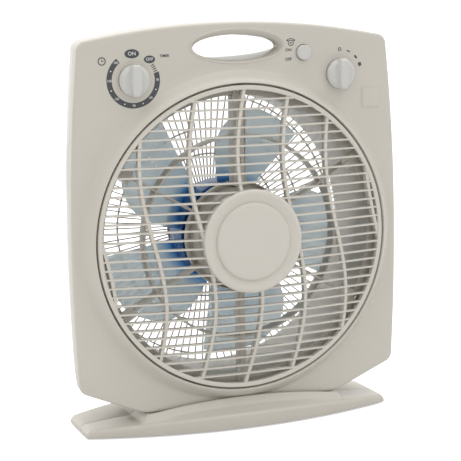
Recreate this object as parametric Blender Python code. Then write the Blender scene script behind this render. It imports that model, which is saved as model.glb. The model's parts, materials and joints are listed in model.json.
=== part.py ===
"""A 12-inch box fan with a turning louvre, on a low two-part base.

Every size below is in millimetres and is turned into metres when a mesh is made. X runs to the right
seen from the front, Y to the back and Z up. The origin is on the floor, under the middle of the fan's
depth. "Axis" means the common axis of louvre, motor and impeller, which runs along Y at AXIS_Z.
"""

import math

import bmesh
import bpy

MM = 0.001
GAP = 0.3  # clearance between pieces that touch

# Main axis and body outline
AXIS_Z = 217.0
HALF_WIDTH = 196.5
WAIST_Z = 205.0  # height at which the body is widest
UPPER_SIDE_RADIUS = 2100.0
LOWER_SIDE_RADIUS = 2600.0
BODY_BOTTOM_Z = 24.0
BOTTOM_FLAT = 119.0  # half-width of the flat underside
CHAMFER_CORNER = (192.2, 55.2)
TOP_Z = 457.5
TOP_RADIUS = 907.0
TOP_CORNER = (183.5, 439.0)
CORNER_RADIUS = 12.0
SIDE_DRAFT = 0.225  # how much each side closes in per mm of depth, behind this depth
DRAFT_START_Y = -22.0
WALL = 2.5

# Depths, front to back
CAP_FRONT_Y = -77.0
RING_FRONT_Y = -50.0
FACE_Y = -34.8
SEAM_Y = -15.0
DUCT_SEAM_Y = -5.0
REAR_FACE_Y = 60.0

# Front housing
OPENING_R = 173.5
COLLAR_R = 188.0  # where the raised collar has sunk into the flat face
COLLAR_WALL = 6.0  # depth of the collar's plastic behind its crest
LEDGE_Y = -33.5
DUCT_R = 160.0
FACE_STEPS = 3
EDGE_ROUND = 3.5

# Rear housing
REAR_OPENING_R = 171.0
REAR_LEDGE_Y = 56.3
REAR_TAPER = ((0.0, 4.0), (0.5, 50.0), (2.0, REAR_FACE_Y))
CORD_INLET_AT = (140.0, 62.0)

# Handle slot
SLOT_Z = 429.5
SLOT_HALF = (51.0, 14.0)
SLOT_LIP = (54.0, 17.4)
SLOT_WALL = 2.4
GRIP_FRONT_HALF = (59.0, 16.0)  # the rear shell's grip pocket, wider than the slot and flaring backwards
GRIP_REAR_HALF = (86.0, 13.0)

# Louvre
RING_R = 172.0
RING_INNER_R = 163.0
RING_DEPTH = 10.0
SLAT_PITCH = 30.0
SLAT_THICK = 2.0
SLAT_DEPTH = 7.0
DOME_SLOPE = 0.2
RIB_PITCH = 55.0
RIB_SWAY = 13.0
RIB_HALF_WAVE = 160.0
RIB_WIDTH = 4.0
RIB_DEPTH = 9.0
LOUVRE_HUB_R = (53.0, 57.5)
LOUVRE_HUB_Y = (-72.0, -60.0)
LOUVRE_BOSS_R = (9.3, 12.5)
LOUVRE_BOSS_Y = (-65.0, -60.5)
HUB_SPOKE_Y = -64.0
CAP_R = 58.0
CAP_BACK_Y = -72.3

# Motor, bracket and covers
SPOKE_FRONT_Y = -38.0
SPOKE_BACK_Y = -20.5
LUG_FRONT_Y = -36.2
HOOP_R = 115.0
HOOP_THICK = 2.4
MOTOR_PLATE_R = (43.0, 62.5)
MOTOR_COVER_R = 57.0
MOTOR_COVER_FRONT_Y = -55.0
MOTOR_COVER_BACK_Y = -22.3
CHANNEL_WIDTH = 15.0
STATOR_R = (20.0, 42.0)
STATOR_Y = (-24.0, -4.0)
SHAFT_R = 4.0

# Impeller
HUB_R = 60.0
HUB_Y = (-2.0, 38.0)
TIP_R = 147.0
BLADE_COUNT = 5
BLADE_START = -2.0  # direction of the first blade, degrees from +X towards +Z
BLADE_BACK_ANGLE = 24.0
BLADE_Y = (7.0, 40.0)
BLADE_THICK = 2.0

# Rear grille
GRILLE_BARS = 18
GRILLE_PATH = ((50.0, 63.6), (157.0, 62.0), (166.0, 57.0))
GRILLE_BAR = (2.2, 3.0)
GRILLE_RINGS = ((115.0, 118.0, 61.4), (155.0, 158.0, 61.0))
GRILLE_FRAME_R = (162.5, 169.6)

# Controls
TIMER_X = -122.0
SPEED_X = 124.5
KNOB_Z = 396.8
KNOB_R = 16.7
KNOB_Y = (-44.5, -38.4)
KNOB_GRIP_Y = -50.5
KNOB_SHAFT_R = 3.0
BUTTON_AT = (79.4, 421.8)
BUTTON_R = 8.5

# Base
BASE_HALF_LENGTH = 184.7
BASE_MID_Y = 7.0
BASE_END_DEPTH = 36.0
BASE_BOW = 34.0
BASE_RIM_Z = 1.5
BASE_TOP_Z = 19.5
BASE_END_FALL = 9.5
PEDESTAL_Z = BODY_BOTTOM_Z - GAP
PEDESTAL_HALF = 116.0
APRON_RISE = 8.8  # crest of the front base's apron over its pedestal

# Fasteners and feet
SCREW_R = 2.0
SCREW_HEAD = (4.0, 2.4)
CASE_SCREWS = ((-155.0, 420.0), (155.0, 420.0), (-164.0, 80.0), (164.0, 80.0))
CASE_BOSS_R = (4.5, 6.5)  # the front shell's boss and the rear shell's
CASE_BOSS_END_Y = 44.0  # where the front boss meets the rear one
CASE_SEAT_Y = 54.0  # the face under the screw's head
BASE_SCREWS = ((-90.0, -23.0), (90.0, -23.0), (-90.0, 25.0), (90.0, 25.0))
FOOT_PADS = ((-150.0, -20.0), (150.0, -20.0), (-150.0, 34.0), (150.0, 34.0))
BRACKET_SCREW_ANGLES = (90.0, 210.0, 330.0)
BRACKET_SCREW_R = 166.0
GRILLE_SCREW_ANGLES = (45.0, 135.0, 225.0, 315.0)
GRILLE_SCREW_R = 166.4


# Scene, materials and mesh helpers


def clear_scene():
    for obj in list(bpy.data.objects):
        bpy.data.objects.remove(obj, do_unlink=True)


def material(name, colour, roughness, metallic=0.0, alpha=1.0):
    made = bpy.data.materials.new(name)
    made.use_nodes = True
    shader = made.node_tree.nodes["Principled BSDF"]
    shader.inputs["Base Color"].default_value = (*colour, 1.0)
    shader.inputs["Roughness"].default_value = roughness
    shader.inputs["Metallic"].default_value = metallic
    shader.inputs["Alpha"].default_value = alpha
    made.diffuse_color = (*colour, alpha)
    return made


def solid(name, points, faces, look, origin=(0.0, 0.0, 0.0), sharp=35.0):
    """One object from points in mm, with its own origin at `origin` and its faces turned outwards."""
    mesh = bpy.data.meshes.new(name)
    mesh.from_pydata([[(p[i] - origin[i]) * MM for i in range(3)] for p in points], [], faces)
    shape = bmesh.new()
    shape.from_mesh(mesh)
    bmesh.ops.recalc_face_normals(shape, faces=shape.faces)
    shape.to_mesh(mesh)
    shape.free()
    mesh.shade_smooth()
    mesh.set_sharp_from_angle(angle=math.radians(sharp))
    if look:
        mesh.materials.append(look)
    obj = bpy.data.objects.new(name, mesh)
    obj.location = [value * MM for value in origin]
    bpy.context.scene.collection.objects.link(obj)
    return obj


def loft(name, loops, look=None, closed=False, **kwargs):
    """Skins loops of equally many points. A closed loft joins its last loop to the first."""
    count = len(loops[0])
    faces = []
    for k in range(len(loops) if closed else len(loops) - 1):
        here, there = k * count, (k + 1) % len(loops) * count
        for i in range(count):
            j = (i + 1) % count
            faces.append((here + i, here + j, there + j, there + i))
    if not closed:
        last = (len(loops) - 1) * count
        faces += [tuple(range(count)), tuple(range(last, last + count))]
    return solid(name, [p for loop in loops for p in loop], faces, look, **kwargs)


def sheet(name, front, back, look=None, **kwargs):
    """A thin curved body between two grids of points, split into triangles the same way on both sides."""
    rows, columns = len(front), len(front[0])
    points = [p for grid in (front, back) for row in grid for p in row]
    faces = []
    for side in (0, rows * columns):
        for i in range(rows - 1):
            for j in range(columns - 1):
                a = side + i * columns + j
                faces += [(a, a + columns, a + columns + 1), (a, a + columns + 1, a + 1)]
    rim = list(range(columns)) + [i * columns + columns - 1 for i in range(1, rows)]
    rim += [(rows - 1) * columns + j for j in range(columns - 2, -1, -1)]
    rim += [i * columns for i in range(rows - 2, 0, -1)]
    for a, b in zip(rim, rim[1:] + rim[:1]):
        faces.append((a, b, b + rows * columns, a + rows * columns))
    return solid(name, points, faces, look, **kwargs)


def ring_points(radius, depth, sides, centre=(0.0, AXIS_Z), along="Y", turn=0.0):
    """A circle of points round an axis along Y at (x, z), or along Z at (x, y)."""
    points = []
    for k in range(sides):
        angle = math.radians(turn) + 2 * math.pi * k / sides
        across = centre[0] + radius * math.cos(angle)
        up = centre[1] + radius * math.sin(angle)
        points.append((across, depth, up) if along == "Y" else (across, up, depth))
    return points


def turned(name, profile, look=None, sides=32, tube=False, centre=(0.0, AXIS_Z), along="Y", **kwargs):
    """A turned piece. Its profile is (radius, depth) pairs; a tube's profile closes on itself."""
    loops = [ring_points(r, depth, sides, centre, along) for r, depth in profile]
    return loft(name, loops, look, closed=tube, **kwargs)


def block(name, low, high, look=None, **kwargs):
    bottom = [(low[0], low[1]), (high[0], low[1]), (high[0], high[1]), (low[0], high[1])]
    loops = [[(x, y, z) for x, y in bottom] for z in (low[2], high[2])]
    return loft(name, loops, look, **kwargs)


def strip(name, path, across, depth, look=None):
    """A bar of rectangular section along `path`, its front edge: `across` is its width as a vector."""
    loops = []
    for x, y, z in path:
        near = (x - across[0] / 2, y, z - across[1] / 2)
        far = (x + across[0] / 2, y, z + across[1] / 2)
        loops.append([near, far, (far[0], y + depth, far[2]), (near[0], y + depth, near[2])])
    return loft(name, loops, look)


def ellipse_prism(name, front_half, back_half, front, back, sides=20):
    """An elliptical plug round the handle slot's axis, from one pair of half-axes to another."""
    loops = []
    for depth, half in ((front, front_half), (back, back_half)):
        turns = [2 * math.pi * (k + 0.5) / sides for k in range(sides)]
        loops.append([(half[0] * math.cos(a), depth, SLOT_Z + half[1] * math.sin(a)) for a in turns])
    return loft(name, loops)


def combine(obj, helpers, operation, label):
    """Joins the helpers to the object, or cuts them from it, and keeps them out of the render."""
    group = bpy.data.collections.new(label)
    for helper in helpers:
        helper.hide_render = True
        helper.display_type = "WIRE"
        group.objects.link(helper)
    step = obj.modifiers.new(label, "BOOLEAN")
    step.operation = operation
    step.operand_type = "COLLECTION"
    step.collection = group
    step.solver = "EXACT"
    return obj


def join(obj, helpers):
    return combine(obj, helpers, "UNION", obj.name + "_joined")


def cut(obj, helpers):
    return combine(obj, helpers, "DIFFERENCE", obj.name + "_cut")


def bore(centre, radius, low, high, sides=12, along="Y"):
    return turned("bore_cutter", ((radius, low), (radius, high)), None, sides, False, centre, along)


def polar(radius, degrees):
    """(x, z) of a point at this radius and angle round the main axis."""
    angle = math.radians(degrees)
    return radius * math.cos(angle), AXIS_Z + radius * math.sin(angle)


# Body outline


def side_x(z):
    rise = z - WAIST_Z
    return HALF_WIDTH - rise * rise / (2 * (UPPER_SIDE_RADIUS if rise > 0 else LOWER_SIDE_RADIUS))


def top_z(x):
    return TOP_Z - x * x / (2 * TOP_RADIUS)


def rounded(before, corner, after, radius, steps):
    """Points of the arc that rounds the corner between two straight neighbours."""
    ways = []
    for other in (before, after):
        length = math.dist(other, corner)
        ways.append(((other[0] - corner[0]) / length, (other[1] - corner[1]) / length))
    half = math.acos(ways[0][0] * ways[1][0] + ways[0][1] * ways[1][1]) / 2
    middle = (ways[0][0] + ways[1][0], ways[0][1] + ways[1][1])
    reach = radius / math.sin(half) / math.hypot(*middle)
    centre = (corner[0] + middle[0] * reach, corner[1] + middle[1] * reach)
    tangent = radius / math.tan(half)
    angles = []
    for way in ways:
        touch = (corner[0] + way[0] * tangent - centre[0], corner[1] + way[1] * tangent - centre[1])
        angles.append(math.atan2(touch[1], touch[0]))
    sweep = (angles[1] - angles[0] + math.pi) % (2 * math.pi) - math.pi
    points = []
    for k in range(steps + 1):
        angle = angles[0] + sweep * k / steps
        points.append((centre[0] + radius * math.cos(angle), centre[1] + radius * math.sin(angle)))
    return points


def body_outline():
    """The body's (x, z) outline, from the middle of the underside anticlockwise seen from the front."""
    flat = [(x, BODY_BOTTOM_Z) for x in (0.0, 32.0, 64.0, 94.0)]
    bend = (BOTTOM_FLAT, BODY_BOTTOM_Z)
    low = CHAMFER_CORNER
    high = TOP_CORNER
    chamfer = [(bend[0] + (low[0] - bend[0]) * t, bend[1] + (low[1] - bend[1]) * t) for t in (0.5,)]
    sides = [(side_x(z), z) for z in range(92, 420, 36)]
    top = [(x, top_z(x)) for x in (150.0, 115.0, 78.0, 39.0)]
    half = flat + rounded(flat[-1], bend, low, 45.0, 2) + chamfer
    half += rounded(chamfer[-1], low, sides[0], CORNER_RADIUS, 2) + sides
    half += rounded(sides[-1], high, top[0], CORNER_RADIUS, 3) + top
    mirrored = [(-x, z) for x, z in reversed(half[1:])]
    return half + [(0.0, TOP_Z)] + mirrored


OUTLINE = body_outline()


def inset_outline(distance):
    """The outline moved inwards by `distance`, point for point."""
    count = len(OUTLINE)
    moved = []
    for k, (x, z) in enumerate(OUTLINE):
        before, after = OUTLINE[k - 1], OUTLINE[(k + 1) % count]
        along = (after[0] - before[0], after[1] - before[1])
        length = math.hypot(*along)
        moved.append((x - along[1] / length * distance, z + along[0] / length * distance))
    return moved


def outline_loop(distance, depth):
    """A loop of the inset outline, closed in by the sides' draft. `depth` is a Y value, or a function of
    the radius from the axis."""
    loop = []
    for x, z in inset_outline(distance):
        y = depth(math.hypot(x, z - AXIS_Z)) if callable(depth) else depth
        draft = SIDE_DRAFT * max(y - DRAFT_START_Y, 0.0) / HALF_WIDTH
        loop.append((x * (1 - draft), y, z))
    return loop


def circle_loop(radius, depth, outer=None):
    """A circle round the axis with a point towards each point of the outline. Where the circle would
    pass `outer`, a loop further out, it keeps inside it by a share given as (loop, share, inner radius).
    """
    loop = []
    for k, (x, z) in enumerate(OUTLINE):
        angle = math.atan2(z - AXIS_Z, x)
        r = radius
        if outer:
            edge, share, inner = outer
            limit = math.hypot(edge[k][0], edge[k][2] - AXIS_Z)
            r = min(radius, inner + (limit - inner) * share)
        y = depth(r) if callable(depth) else depth
        loop.append((r * math.cos(angle), y, AXIS_Z + r * math.sin(angle)))
    return loop


def face_y(radius):
    """Depth of the front face: at the ring's plane beside the louvre, easing back to the flat face."""
    t = min(max((radius - OPENING_R) / (COLLAR_R - OPENING_R), 0.0), 1.0)
    return RING_FRONT_Y + (FACE_Y - RING_FRONT_Y) * t * t * (3 - 2 * t)


# Housings


def face_loops(inner, edge, offset):
    """The face between the opening and its edge, as loops that sink from the collar to the flat."""
    loops = []
    for k in range(1, FACE_STEPS):
        radius = OPENING_R + (COLLAR_R - OPENING_R) * k / (FACE_STEPS - 1)
        outer = (edge, k / FACE_STEPS, inner)
        loops.append(circle_loop(radius, lambda r: face_y(r) + offset, outer))
    return loops


def make_front_housing(look):
    edge = outline_loop(EDGE_ROUND, face_y)
    inner_edge = outline_loop(EDGE_ROUND + WALL, lambda r: face_y(r) + WALL)
    loops = [circle_loop(OPENING_R, RING_FRONT_Y)]
    loops += face_loops(OPENING_R, edge, 0.0) + [edge]
    loops.append(outline_loop(EDGE_ROUND * 0.3, lambda r: face_y(r) + EDGE_ROUND * 0.3))
    loops.append(outline_loop(0.0, lambda r: face_y(r) + EDGE_ROUND))
    loops.append(outline_loop(0.0, SEAM_Y - GAP / 2))
    loops.append(outline_loop(WALL, SEAM_Y - GAP / 2))
    loops.append(outline_loop(WALL, lambda r: face_y(r) + EDGE_ROUND + WALL))
    loops.append(inner_edge)
    loops += face_loops(OPENING_R + WALL, inner_edge, WALL)[::-1]
    loops.append(circle_loop(OPENING_R + WALL, RING_FRONT_Y + COLLAR_WALL))
    loops.append(circle_loop(OPENING_R + WALL, LEDGE_Y + WALL))
    loops.append(circle_loop(DUCT_R + WALL, LEDGE_Y + WALL))
    loops.append(circle_loop(DUCT_R + WALL, DUCT_SEAM_Y - GAP / 2))
    loops.append(circle_loop(DUCT_R, DUCT_SEAM_Y - GAP / 2))
    loops.append(circle_loop(DUCT_R, LEDGE_Y))
    loops.append(circle_loop(OPENING_R, LEDGE_Y))
    housing = loft("front_housing", loops, look, closed=True)
    tube = (SLOT_HALF[0] + SLOT_WALL, SLOT_HALF[1] + SLOT_WALL)
    added = [
        ellipse_prism("slot_tube", tube, tube, FACE_Y + 1.0, SEAM_Y - GAP / 2),
        ellipse_prism("slot_lip", SLOT_LIP, SLOT_LIP, FACE_Y - 0.8, FACE_Y + 1.2),
    ]
    for x, z in CASE_SCREWS:
        boss = ((CASE_BOSS_R[0], FACE_Y + 1.0), (CASE_BOSS_R[0], CASE_BOSS_END_Y))
        added.append(turned("case_boss", boss, None, 8, False, (x, z)))
    for x, y in BASE_SCREWS[:2]:
        added.append(turned("foot_boss", ((5.0, 25.5), (5.0, 36.0)), None, 8, False, (x, y), "Z"))
    removed = [ellipse_prism("slot_hole", SLOT_HALF, SLOT_HALF, FACE_Y - 20.0, SEAM_Y + 10.0)]
    for x in (TIMER_X, SPEED_X):
        removed.append(bore((x, KNOB_Z), KNOB_SHAFT_R + 1.5, FACE_Y - 10.0, FACE_Y + 10.0))
    removed.append(bore(BUTTON_AT, BUTTON_R + 0.7, FACE_Y - 10.0, FACE_Y + 10.0, 16))
    for x, z in CASE_SCREWS:
        removed.append(bore((x, z), SCREW_R + GAP, 26.0, CASE_BOSS_END_Y + 6.0, 6))
    for x, y in BASE_SCREWS[:2]:
        removed.append(bore((x, y), SCREW_R + GAP, 10.0, 34.0, 8, "Z"))
    for angle in BRACKET_SCREW_ANGLES:
        removed.append(bore(polar(BRACKET_SCREW_R, angle), SCREW_R + GAP, -40.0, -30.0, 8))
    return cut(join(housing, added), removed)


def grip_pocket(name, wall, front, back):
    """The grip pocket behind the slot between two depths, or its outside if `wall` is given."""
    halves = []
    for y in (front, back):
        t = (y - SEAM_Y) / (REAR_FACE_Y - SEAM_Y)
        halves.append([a + (b - a) * t + wall for a, b in zip(GRIP_FRONT_HALF, GRIP_REAR_HALF)])
    return ellipse_prism(name, *halves, front, back, 24)


def make_rear_housing(look):
    start = SEAM_Y + GAP / 2
    rear = REAR_FACE_Y
    loops = [outline_loop(0.0, start)]
    loops += [outline_loop(inward, y) for inward, y in REAR_TAPER]
    loops.append(circle_loop(REAR_OPENING_R, rear))
    loops.append(circle_loop(REAR_OPENING_R, REAR_LEDGE_Y))
    loops.append(circle_loop(DUCT_R + 2.0, REAR_LEDGE_Y))
    loops.append(circle_loop(DUCT_R, 48.0))
    loops.append(circle_loop(DUCT_R, DUCT_SEAM_Y + GAP / 2))
    loops.append(circle_loop(DUCT_R + WALL, DUCT_SEAM_Y + GAP / 2))
    loops.append(circle_loop(DUCT_R + WALL, 47.0))
    loops.append(circle_loop(DUCT_R + WALL + 2.0, REAR_LEDGE_Y - WALL))
    loops.append(circle_loop(REAR_OPENING_R + WALL, REAR_LEDGE_Y - WALL))
    loops.append(circle_loop(REAR_OPENING_R + WALL, rear - WALL))
    loops += [outline_loop(inward + WALL, y - WALL) for inward, y in reversed(REAR_TAPER[1:])]
    loops.append(outline_loop(WALL, start))
    housing = loft("rear_housing", loops, look, closed=True)
    added = [grip_pocket("pocket_wall", SLOT_WALL, start, rear - 1.0)]
    for x, z in CASE_SCREWS:
        boss = ((CASE_BOSS_R[1], CASE_BOSS_END_Y + GAP), (CASE_BOSS_R[1], rear - 1.0))
        added.append(turned("case_boss", boss, None, 8, False, (x, z)))
    for x, y in BASE_SCREWS[2:]:
        added.append(turned("foot_boss", ((5.0, 25.5), (5.0, 36.0)), None, 8, False, (x, y), "Z"))
    removed = [grip_pocket("pocket_hole", 0.0, start - 4.0, rear + 4.0)]
    for x, z in CASE_SCREWS:
        removed.append(bore((x, z), SCREW_R + GAP, 30.0, CASE_SEAT_Y + 2.0, 6))
        removed.append(bore((x, z), SCREW_HEAD[0] + 0.5, CASE_SEAT_Y, rear + 5.0, 12))
    for x, y in BASE_SCREWS[2:]:
        removed.append(bore((x, y), SCREW_R + GAP, 10.0, 34.0, 8, "Z"))
    for angle in GRILLE_SCREW_ANGLES:
        removed.append(bore(polar(GRILLE_SCREW_R, angle), SCREW_R + GAP, 50.0, 62.0, 8))
    removed.append(bore(CORD_INLET_AT, 6.5, rear - 10.0, rear + 5.0, 20))
    return cut(join(housing, added), removed)


# Louvre


def slat_front_y(radius):
    return RING_FRONT_Y + 0.5 - DOME_SLOPE * (RING_INNER_R - radius)


def slat_paths(z):
    """Front edges of the slat at this height over the axis: one, or two where the hub interrupts it."""
    outer = math.sqrt((RING_INNER_R + 4.0) ** 2 - z * z)
    hub = (LOUVRE_HUB_R[0] + LOUVRE_HUB_R[1]) / 2
    inner = math.sqrt(hub * hub - z * z) if abs(z) < hub else None
    spans = [(-outer, outer)] if inner is None else [(-outer, -inner), (inner, outer)]
    paths = []
    for left, right in spans:
        steps = max(2, round((right - left) / 60.0))
        xs = [left + (right - left) * k / steps for k in range(steps + 1)]
        paths.append([(x, slat_front_y(math.hypot(x, z)), AXIS_Z + z) for x in xs])
    return paths


def rib_x(index, z):
    return index * RIB_PITCH - RIB_SWAY * math.sin(math.pi * z / RIB_HALF_WAVE)


def rib_paths(index):
    """Front edges of a rib: the stretches of its curve that lie between the hub and the ring."""
    hub = (LOUVRE_HUB_R[0] + LOUVRE_HUB_R[1]) / 2
    inside = []
    paths = []
    for step in range(-680, 681):
        z = step / 4
        x = rib_x(index, z)
        if hub < math.hypot(x, z) < RING_INNER_R + 4.0:
            inside.append((x, z))
        elif inside:
            paths.append(inside)
            inside = []
    if inside:
        paths.append(inside)
    thinned = []
    for path in paths:
        steps = max(2, round(len(path) / 4 / 42))
        picks = [path[round((len(path) - 1) * k / steps)] for k in range(steps + 1)]
        thinned.append([(x, slat_front_y(math.hypot(x, z)) - 1.0, AXIS_Z + z) for x, z in picks])
    return thinned


def make_louvre_grille(look):
    back = RING_FRONT_Y + RING_DEPTH
    ring_profile = (
        (RING_INNER_R, RING_FRONT_Y),
        (RING_R - 1.5, RING_FRONT_Y),
        (RING_R, RING_FRONT_Y + 1.5),
        (RING_R, back),
        (RING_INNER_R, back),
    )
    ring = turned("louvre_grille", ring_profile, look, 48, True, origin=(0.0, RING_FRONT_Y, AXIS_Z))
    pieces = []
    for name, (low, high), (near, far), sides in (
        ("louvre_hub", LOUVRE_HUB_R, LOUVRE_HUB_Y, 36),
        ("hub_boss", LOUVRE_BOSS_R, LOUVRE_BOSS_Y, 20),
    ):
        pieces.append(turned(name, ((low, near), (high, near), (high, far), (low, far)), None, sides, True))
    for angle in (0.0, 120.0, 240.0):
        ends = [polar(radius, angle) for radius in (LOUVRE_BOSS_R[0] + 0.2, LOUVRE_HUB_R[0] + 1.0)]
        turn = math.radians(angle + 90)
        across = (3.0 * math.cos(turn), 3.0 * math.sin(turn))
        pieces.append(strip("hub_spoke", [(x, HUB_SPOKE_Y, z) for x, z in ends], across, 3.0))
    rows = int(RING_INNER_R // SLAT_PITCH)
    for row in range(-rows, rows):
        for path in slat_paths((row + 0.5) * SLAT_PITCH):
            pieces.append(strip("slat", path, (0.0, SLAT_THICK), SLAT_DEPTH))
    for index in range(-3, 4):
        for path in rib_paths(index):
            pieces.append(strip("rib", path, (RIB_WIDTH, 0.0), RIB_DEPTH))
    return join(ring, pieces)


def make_louvre_cap(look):
    profile = (
        (20.0, CAP_FRONT_Y),
        (43.0, -75.9),
        (44.0, -74.8),
        (45.2, -74.8),
        (46.4, -76.0),
        (55.0, -75.6),
        (CAP_R, -73.8),
        (CAP_R, CAP_BACK_Y),
        (52.6, CAP_BACK_Y),
        (52.6, -66.0),
        (50.6, -66.0),
        (50.6, CAP_BACK_Y),
        (9.0, CAP_BACK_Y - 0.2),
        (9.0, -60.0),
        (3.8, -60.0),
        (3.8, -71.5),
    )
    return turned("louvre_cap", profile, look, 28, origin=(0.0, CAP_FRONT_Y, AXIS_Z))


# Motor side


def spoke_strip(name, angle, inner, outer, width, front, back):
    """A radial bar round the main axis, seen from the front at this angle."""
    turn = math.radians(angle + 90)
    path = []
    for radius in (inner, outer):
        x, z = polar(radius, angle)
        path.append((x, front, z))
    return strip(name, path, (width * math.cos(turn), width * math.sin(turn)), back - front)


def make_motor_bracket(look):
    low, high = MOTOR_PLATE_R
    plate = ((low, MOTOR_COVER_BACK_Y + GAP), (high, MOTOR_COVER_BACK_Y + GAP), (high, -19.5), (low, -19.5))
    bracket = turned("motor_bracket", plate, look, 36, True)
    half = HOOP_THICK / 2
    front, back = SPOKE_FRONT_Y, SPOKE_BACK_Y
    hoop = ((HOOP_R - half, front), (HOOP_R + half, front), (HOOP_R + half, -22.5), (HOOP_R - half, -22.5))
    pieces = [turned("hoop", hoop, None, 48, True)]
    widths = {90.0: CHANNEL_WIDTH, 270.0: 6.0}
    for angle in range(30, 390, 60):
        width = widths.get(float(angle), 3.0)
        inner = MOTOR_COVER_R + 1.0
        pieces.append(spoke_strip("spoke", angle, inner, DUCT_R - 1.5, width, front + 0.4, back))
        pieces.append(spoke_strip("lug", angle, DUCT_R - 12.0, 170.5, 14.0, LUG_FRONT_Y, LEDGE_Y - GAP))
    groove = block(
        "channel_groove",
        (-CHANNEL_WIDTH / 2 + 2.0, front - 10.0, AXIS_Z + MOTOR_COVER_R + 3.0),
        (CHANNEL_WIDTH / 2 - 2.0, -25.0, AXIS_Z + DUCT_R - 14.0),
    )
    holes = [bore(polar(BRACKET_SCREW_R, a), SCREW_R + GAP, -45.0, -30.0, 8) for a in BRACKET_SCREW_ANGLES]
    return cut(join(bracket, pieces), [groove] + holes)


def make_channel_cover(look):
    half = CHANNEL_WIDTH / 2 - 2.0 - GAP
    low, high = AXIS_Z + MOTOR_COVER_R + 3.3, AXIS_Z + DUCT_R - 14.3
    cover = block("channel_cover", (-half, -37.4, low), (half, -35.6, high), look)
    return cut(cover, [block("wire_slot", (-1.2, -45.0, high - 22.0), (1.2, -30.0, high - 8.0))])


def make_motor_cover(look):
    front, back = MOTOR_COVER_FRONT_Y, MOTOR_COVER_BACK_Y
    r = MOTOR_COVER_R
    profile = (
        (6.0, front),
        (r - 3.0, front),
        (r, front + 3.0),
        (r, back),
        (r - 2.0, back),
        (r - 2.0, front + 3.8),
        (r - 3.8, front + 2.0),
        (6.0, front + 2.0),
    )
    cover = turned("motor_cover", profile, look, 36, True)
    slots = []
    for x in (-40.0, -32.0, 32.0, 40.0):
        reach = math.sqrt((r - 8.0) ** 2 - x * x)
        low, high = (x - 1.6, front - 5.0, AXIS_Z - reach), (x + 1.6, front + 2.8, AXIS_Z + reach)
        slots.append(block("vent", low, high))
    return cut(cover, slots)


def end_bell(name, look, closed_y, open_y):
    """A motor end cup with a bearing seat in its closed end."""
    inward = 2.0 if open_y > closed_y else -2.0
    profile = (
        (11.4, closed_y),
        (38.0, closed_y),
        (STATOR_R[1], closed_y + 2 * inward),
        (STATOR_R[1], open_y),
        (STATOR_R[1] - 2.0, open_y),
        (STATOR_R[1] - 2.0, closed_y + 2.6 * inward),
        (37.0, closed_y + inward),
        (11.4, closed_y + inward),
    )
    return turned(name, profile, look, 18, True)


def make_motor(steel, zinc, copper, brass, dark):
    front, back = STATOR_Y
    inner, outer = STATOR_R
    turned("stator_core", ((inner, front), (outer, front), (outer, back), (inner, back)), steel, 24, True)
    for name, low, high in (("winding_front", -31.0, front - GAP), ("winding_rear", back + GAP, 3.0)):
        coil = ((24.0, low), (36.0, low), (38.0, (low + high) / 2), (36.0, high), (24.0, high))
        turned(name, coil, copper, 18, True)
    end_bell("motor_bell_front", zinc, -36.5, front - GAP)
    end_bell("motor_bell_rear", zinc, 8.5, back + GAP)
    for name, low in (("bearing_front", -37.0), ("bearing_rear", 2.0)):
        race = ((SHAFT_R + 0.1, low), (11.0, low), (11.0, low + 7.0), (SHAFT_R + 0.1, low + 7.0))
        turned(name, race, brass, 18, True, origin=(0.0, low, AXIS_Z))
    case = ((4.2, -52.7), (25.0, -52.7), (25.0, -39.0), (4.2, -39.0))
    turned("louvre_motor", case, dark, 18, True)


def make_rotor(steel, dark, blue, grey):
    turned("rotor_shaft", ((SHAFT_R, -37.6), (SHAFT_R, 47.0)), steel, 24, origin=(0.0, 0.0, AXIS_Z))
    front, back = STATOR_Y
    bore_r = SHAFT_R + GAP
    core = ((bore_r, front), (STATOR_R[0] - 0.6, front), (STATOR_R[0] - 0.6, back), (bore_r, back))
    turned("rotor_core", core, dark, 18, True, origin=(0.0, front, AXIS_Z))
    make_impeller(blue)
    nut_front = HUB_Y[1] + GAP
    nut = ((13.0, nut_front), (12.0, 44.0), (8.0, 50.0), (bore_r, 50.0), (bore_r, nut_front))
    turned("impeller_nut", nut, grey, 18, True, origin=(0.0, HUB_Y[1], AXIS_Z))


def front_edge_angle(radius):
    """Degrees from a blade's middle to its swept front edge."""
    t = (radius - HUB_R) / (TIP_R - HUB_R)
    return 31.0 - 7.0 * t - 22.0 * max(t, 0.0) ** 4


def blade_section(middle, radius):
    """The blade's front and back rows of points at one radius: a thin helix, thinner at both edges."""
    low, high = BLADE_Y
    span = BLADE_BACK_ANGLE + 31.0
    ahead = front_edge_angle(radius)
    shares = (0.0, 0.25, 0.5, 0.75, 1.0)
    rows = []
    for side in (-1, 1):
        row = []
        for t in shares:
            angle = -BLADE_BACK_ANGLE + (ahead + BLADE_BACK_ANGLE) * t
            y = high - (high - low) * (angle + BLADE_BACK_ANGLE) / span
            thick = BLADE_THICK / 2 * (0.4 + 0.6 * math.sin(math.pi * t))
            x, z = polar(radius, middle + angle)
            row.append((x, y + side * thick, z))
        rows.append(row)
    return rows


def make_impeller(look):
    front, back = HUB_Y
    cup = (
        (SHAFT_R + GAP, back),
        (HUB_R - 3.0, back),
        (HUB_R, back - 3.0),
        (HUB_R, front),
        (HUB_R - WALL, front),
        (HUB_R - WALL, back - 4.0),
        (10.0, back - 4.0),
        (10.0, back - 22.0),
        (SHAFT_R + GAP, back - 22.0),
    )
    impeller = turned("impeller", cup, look, 40, True, origin=(0.0, 0.0, AXIS_Z))
    blades = []
    for index in range(BLADE_COUNT):
        middle = BLADE_START + 360.0 / BLADE_COUNT * index
        sections = [blade_section(middle, r) for r in (HUB_R - 1.2, 80.0, 100.0, 120.0, 135.0, TIP_R)]
        blades.append(sheet("blade", [s[0] for s in sections], [s[1] for s in sections]))
    return join(impeller, blades)


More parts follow.
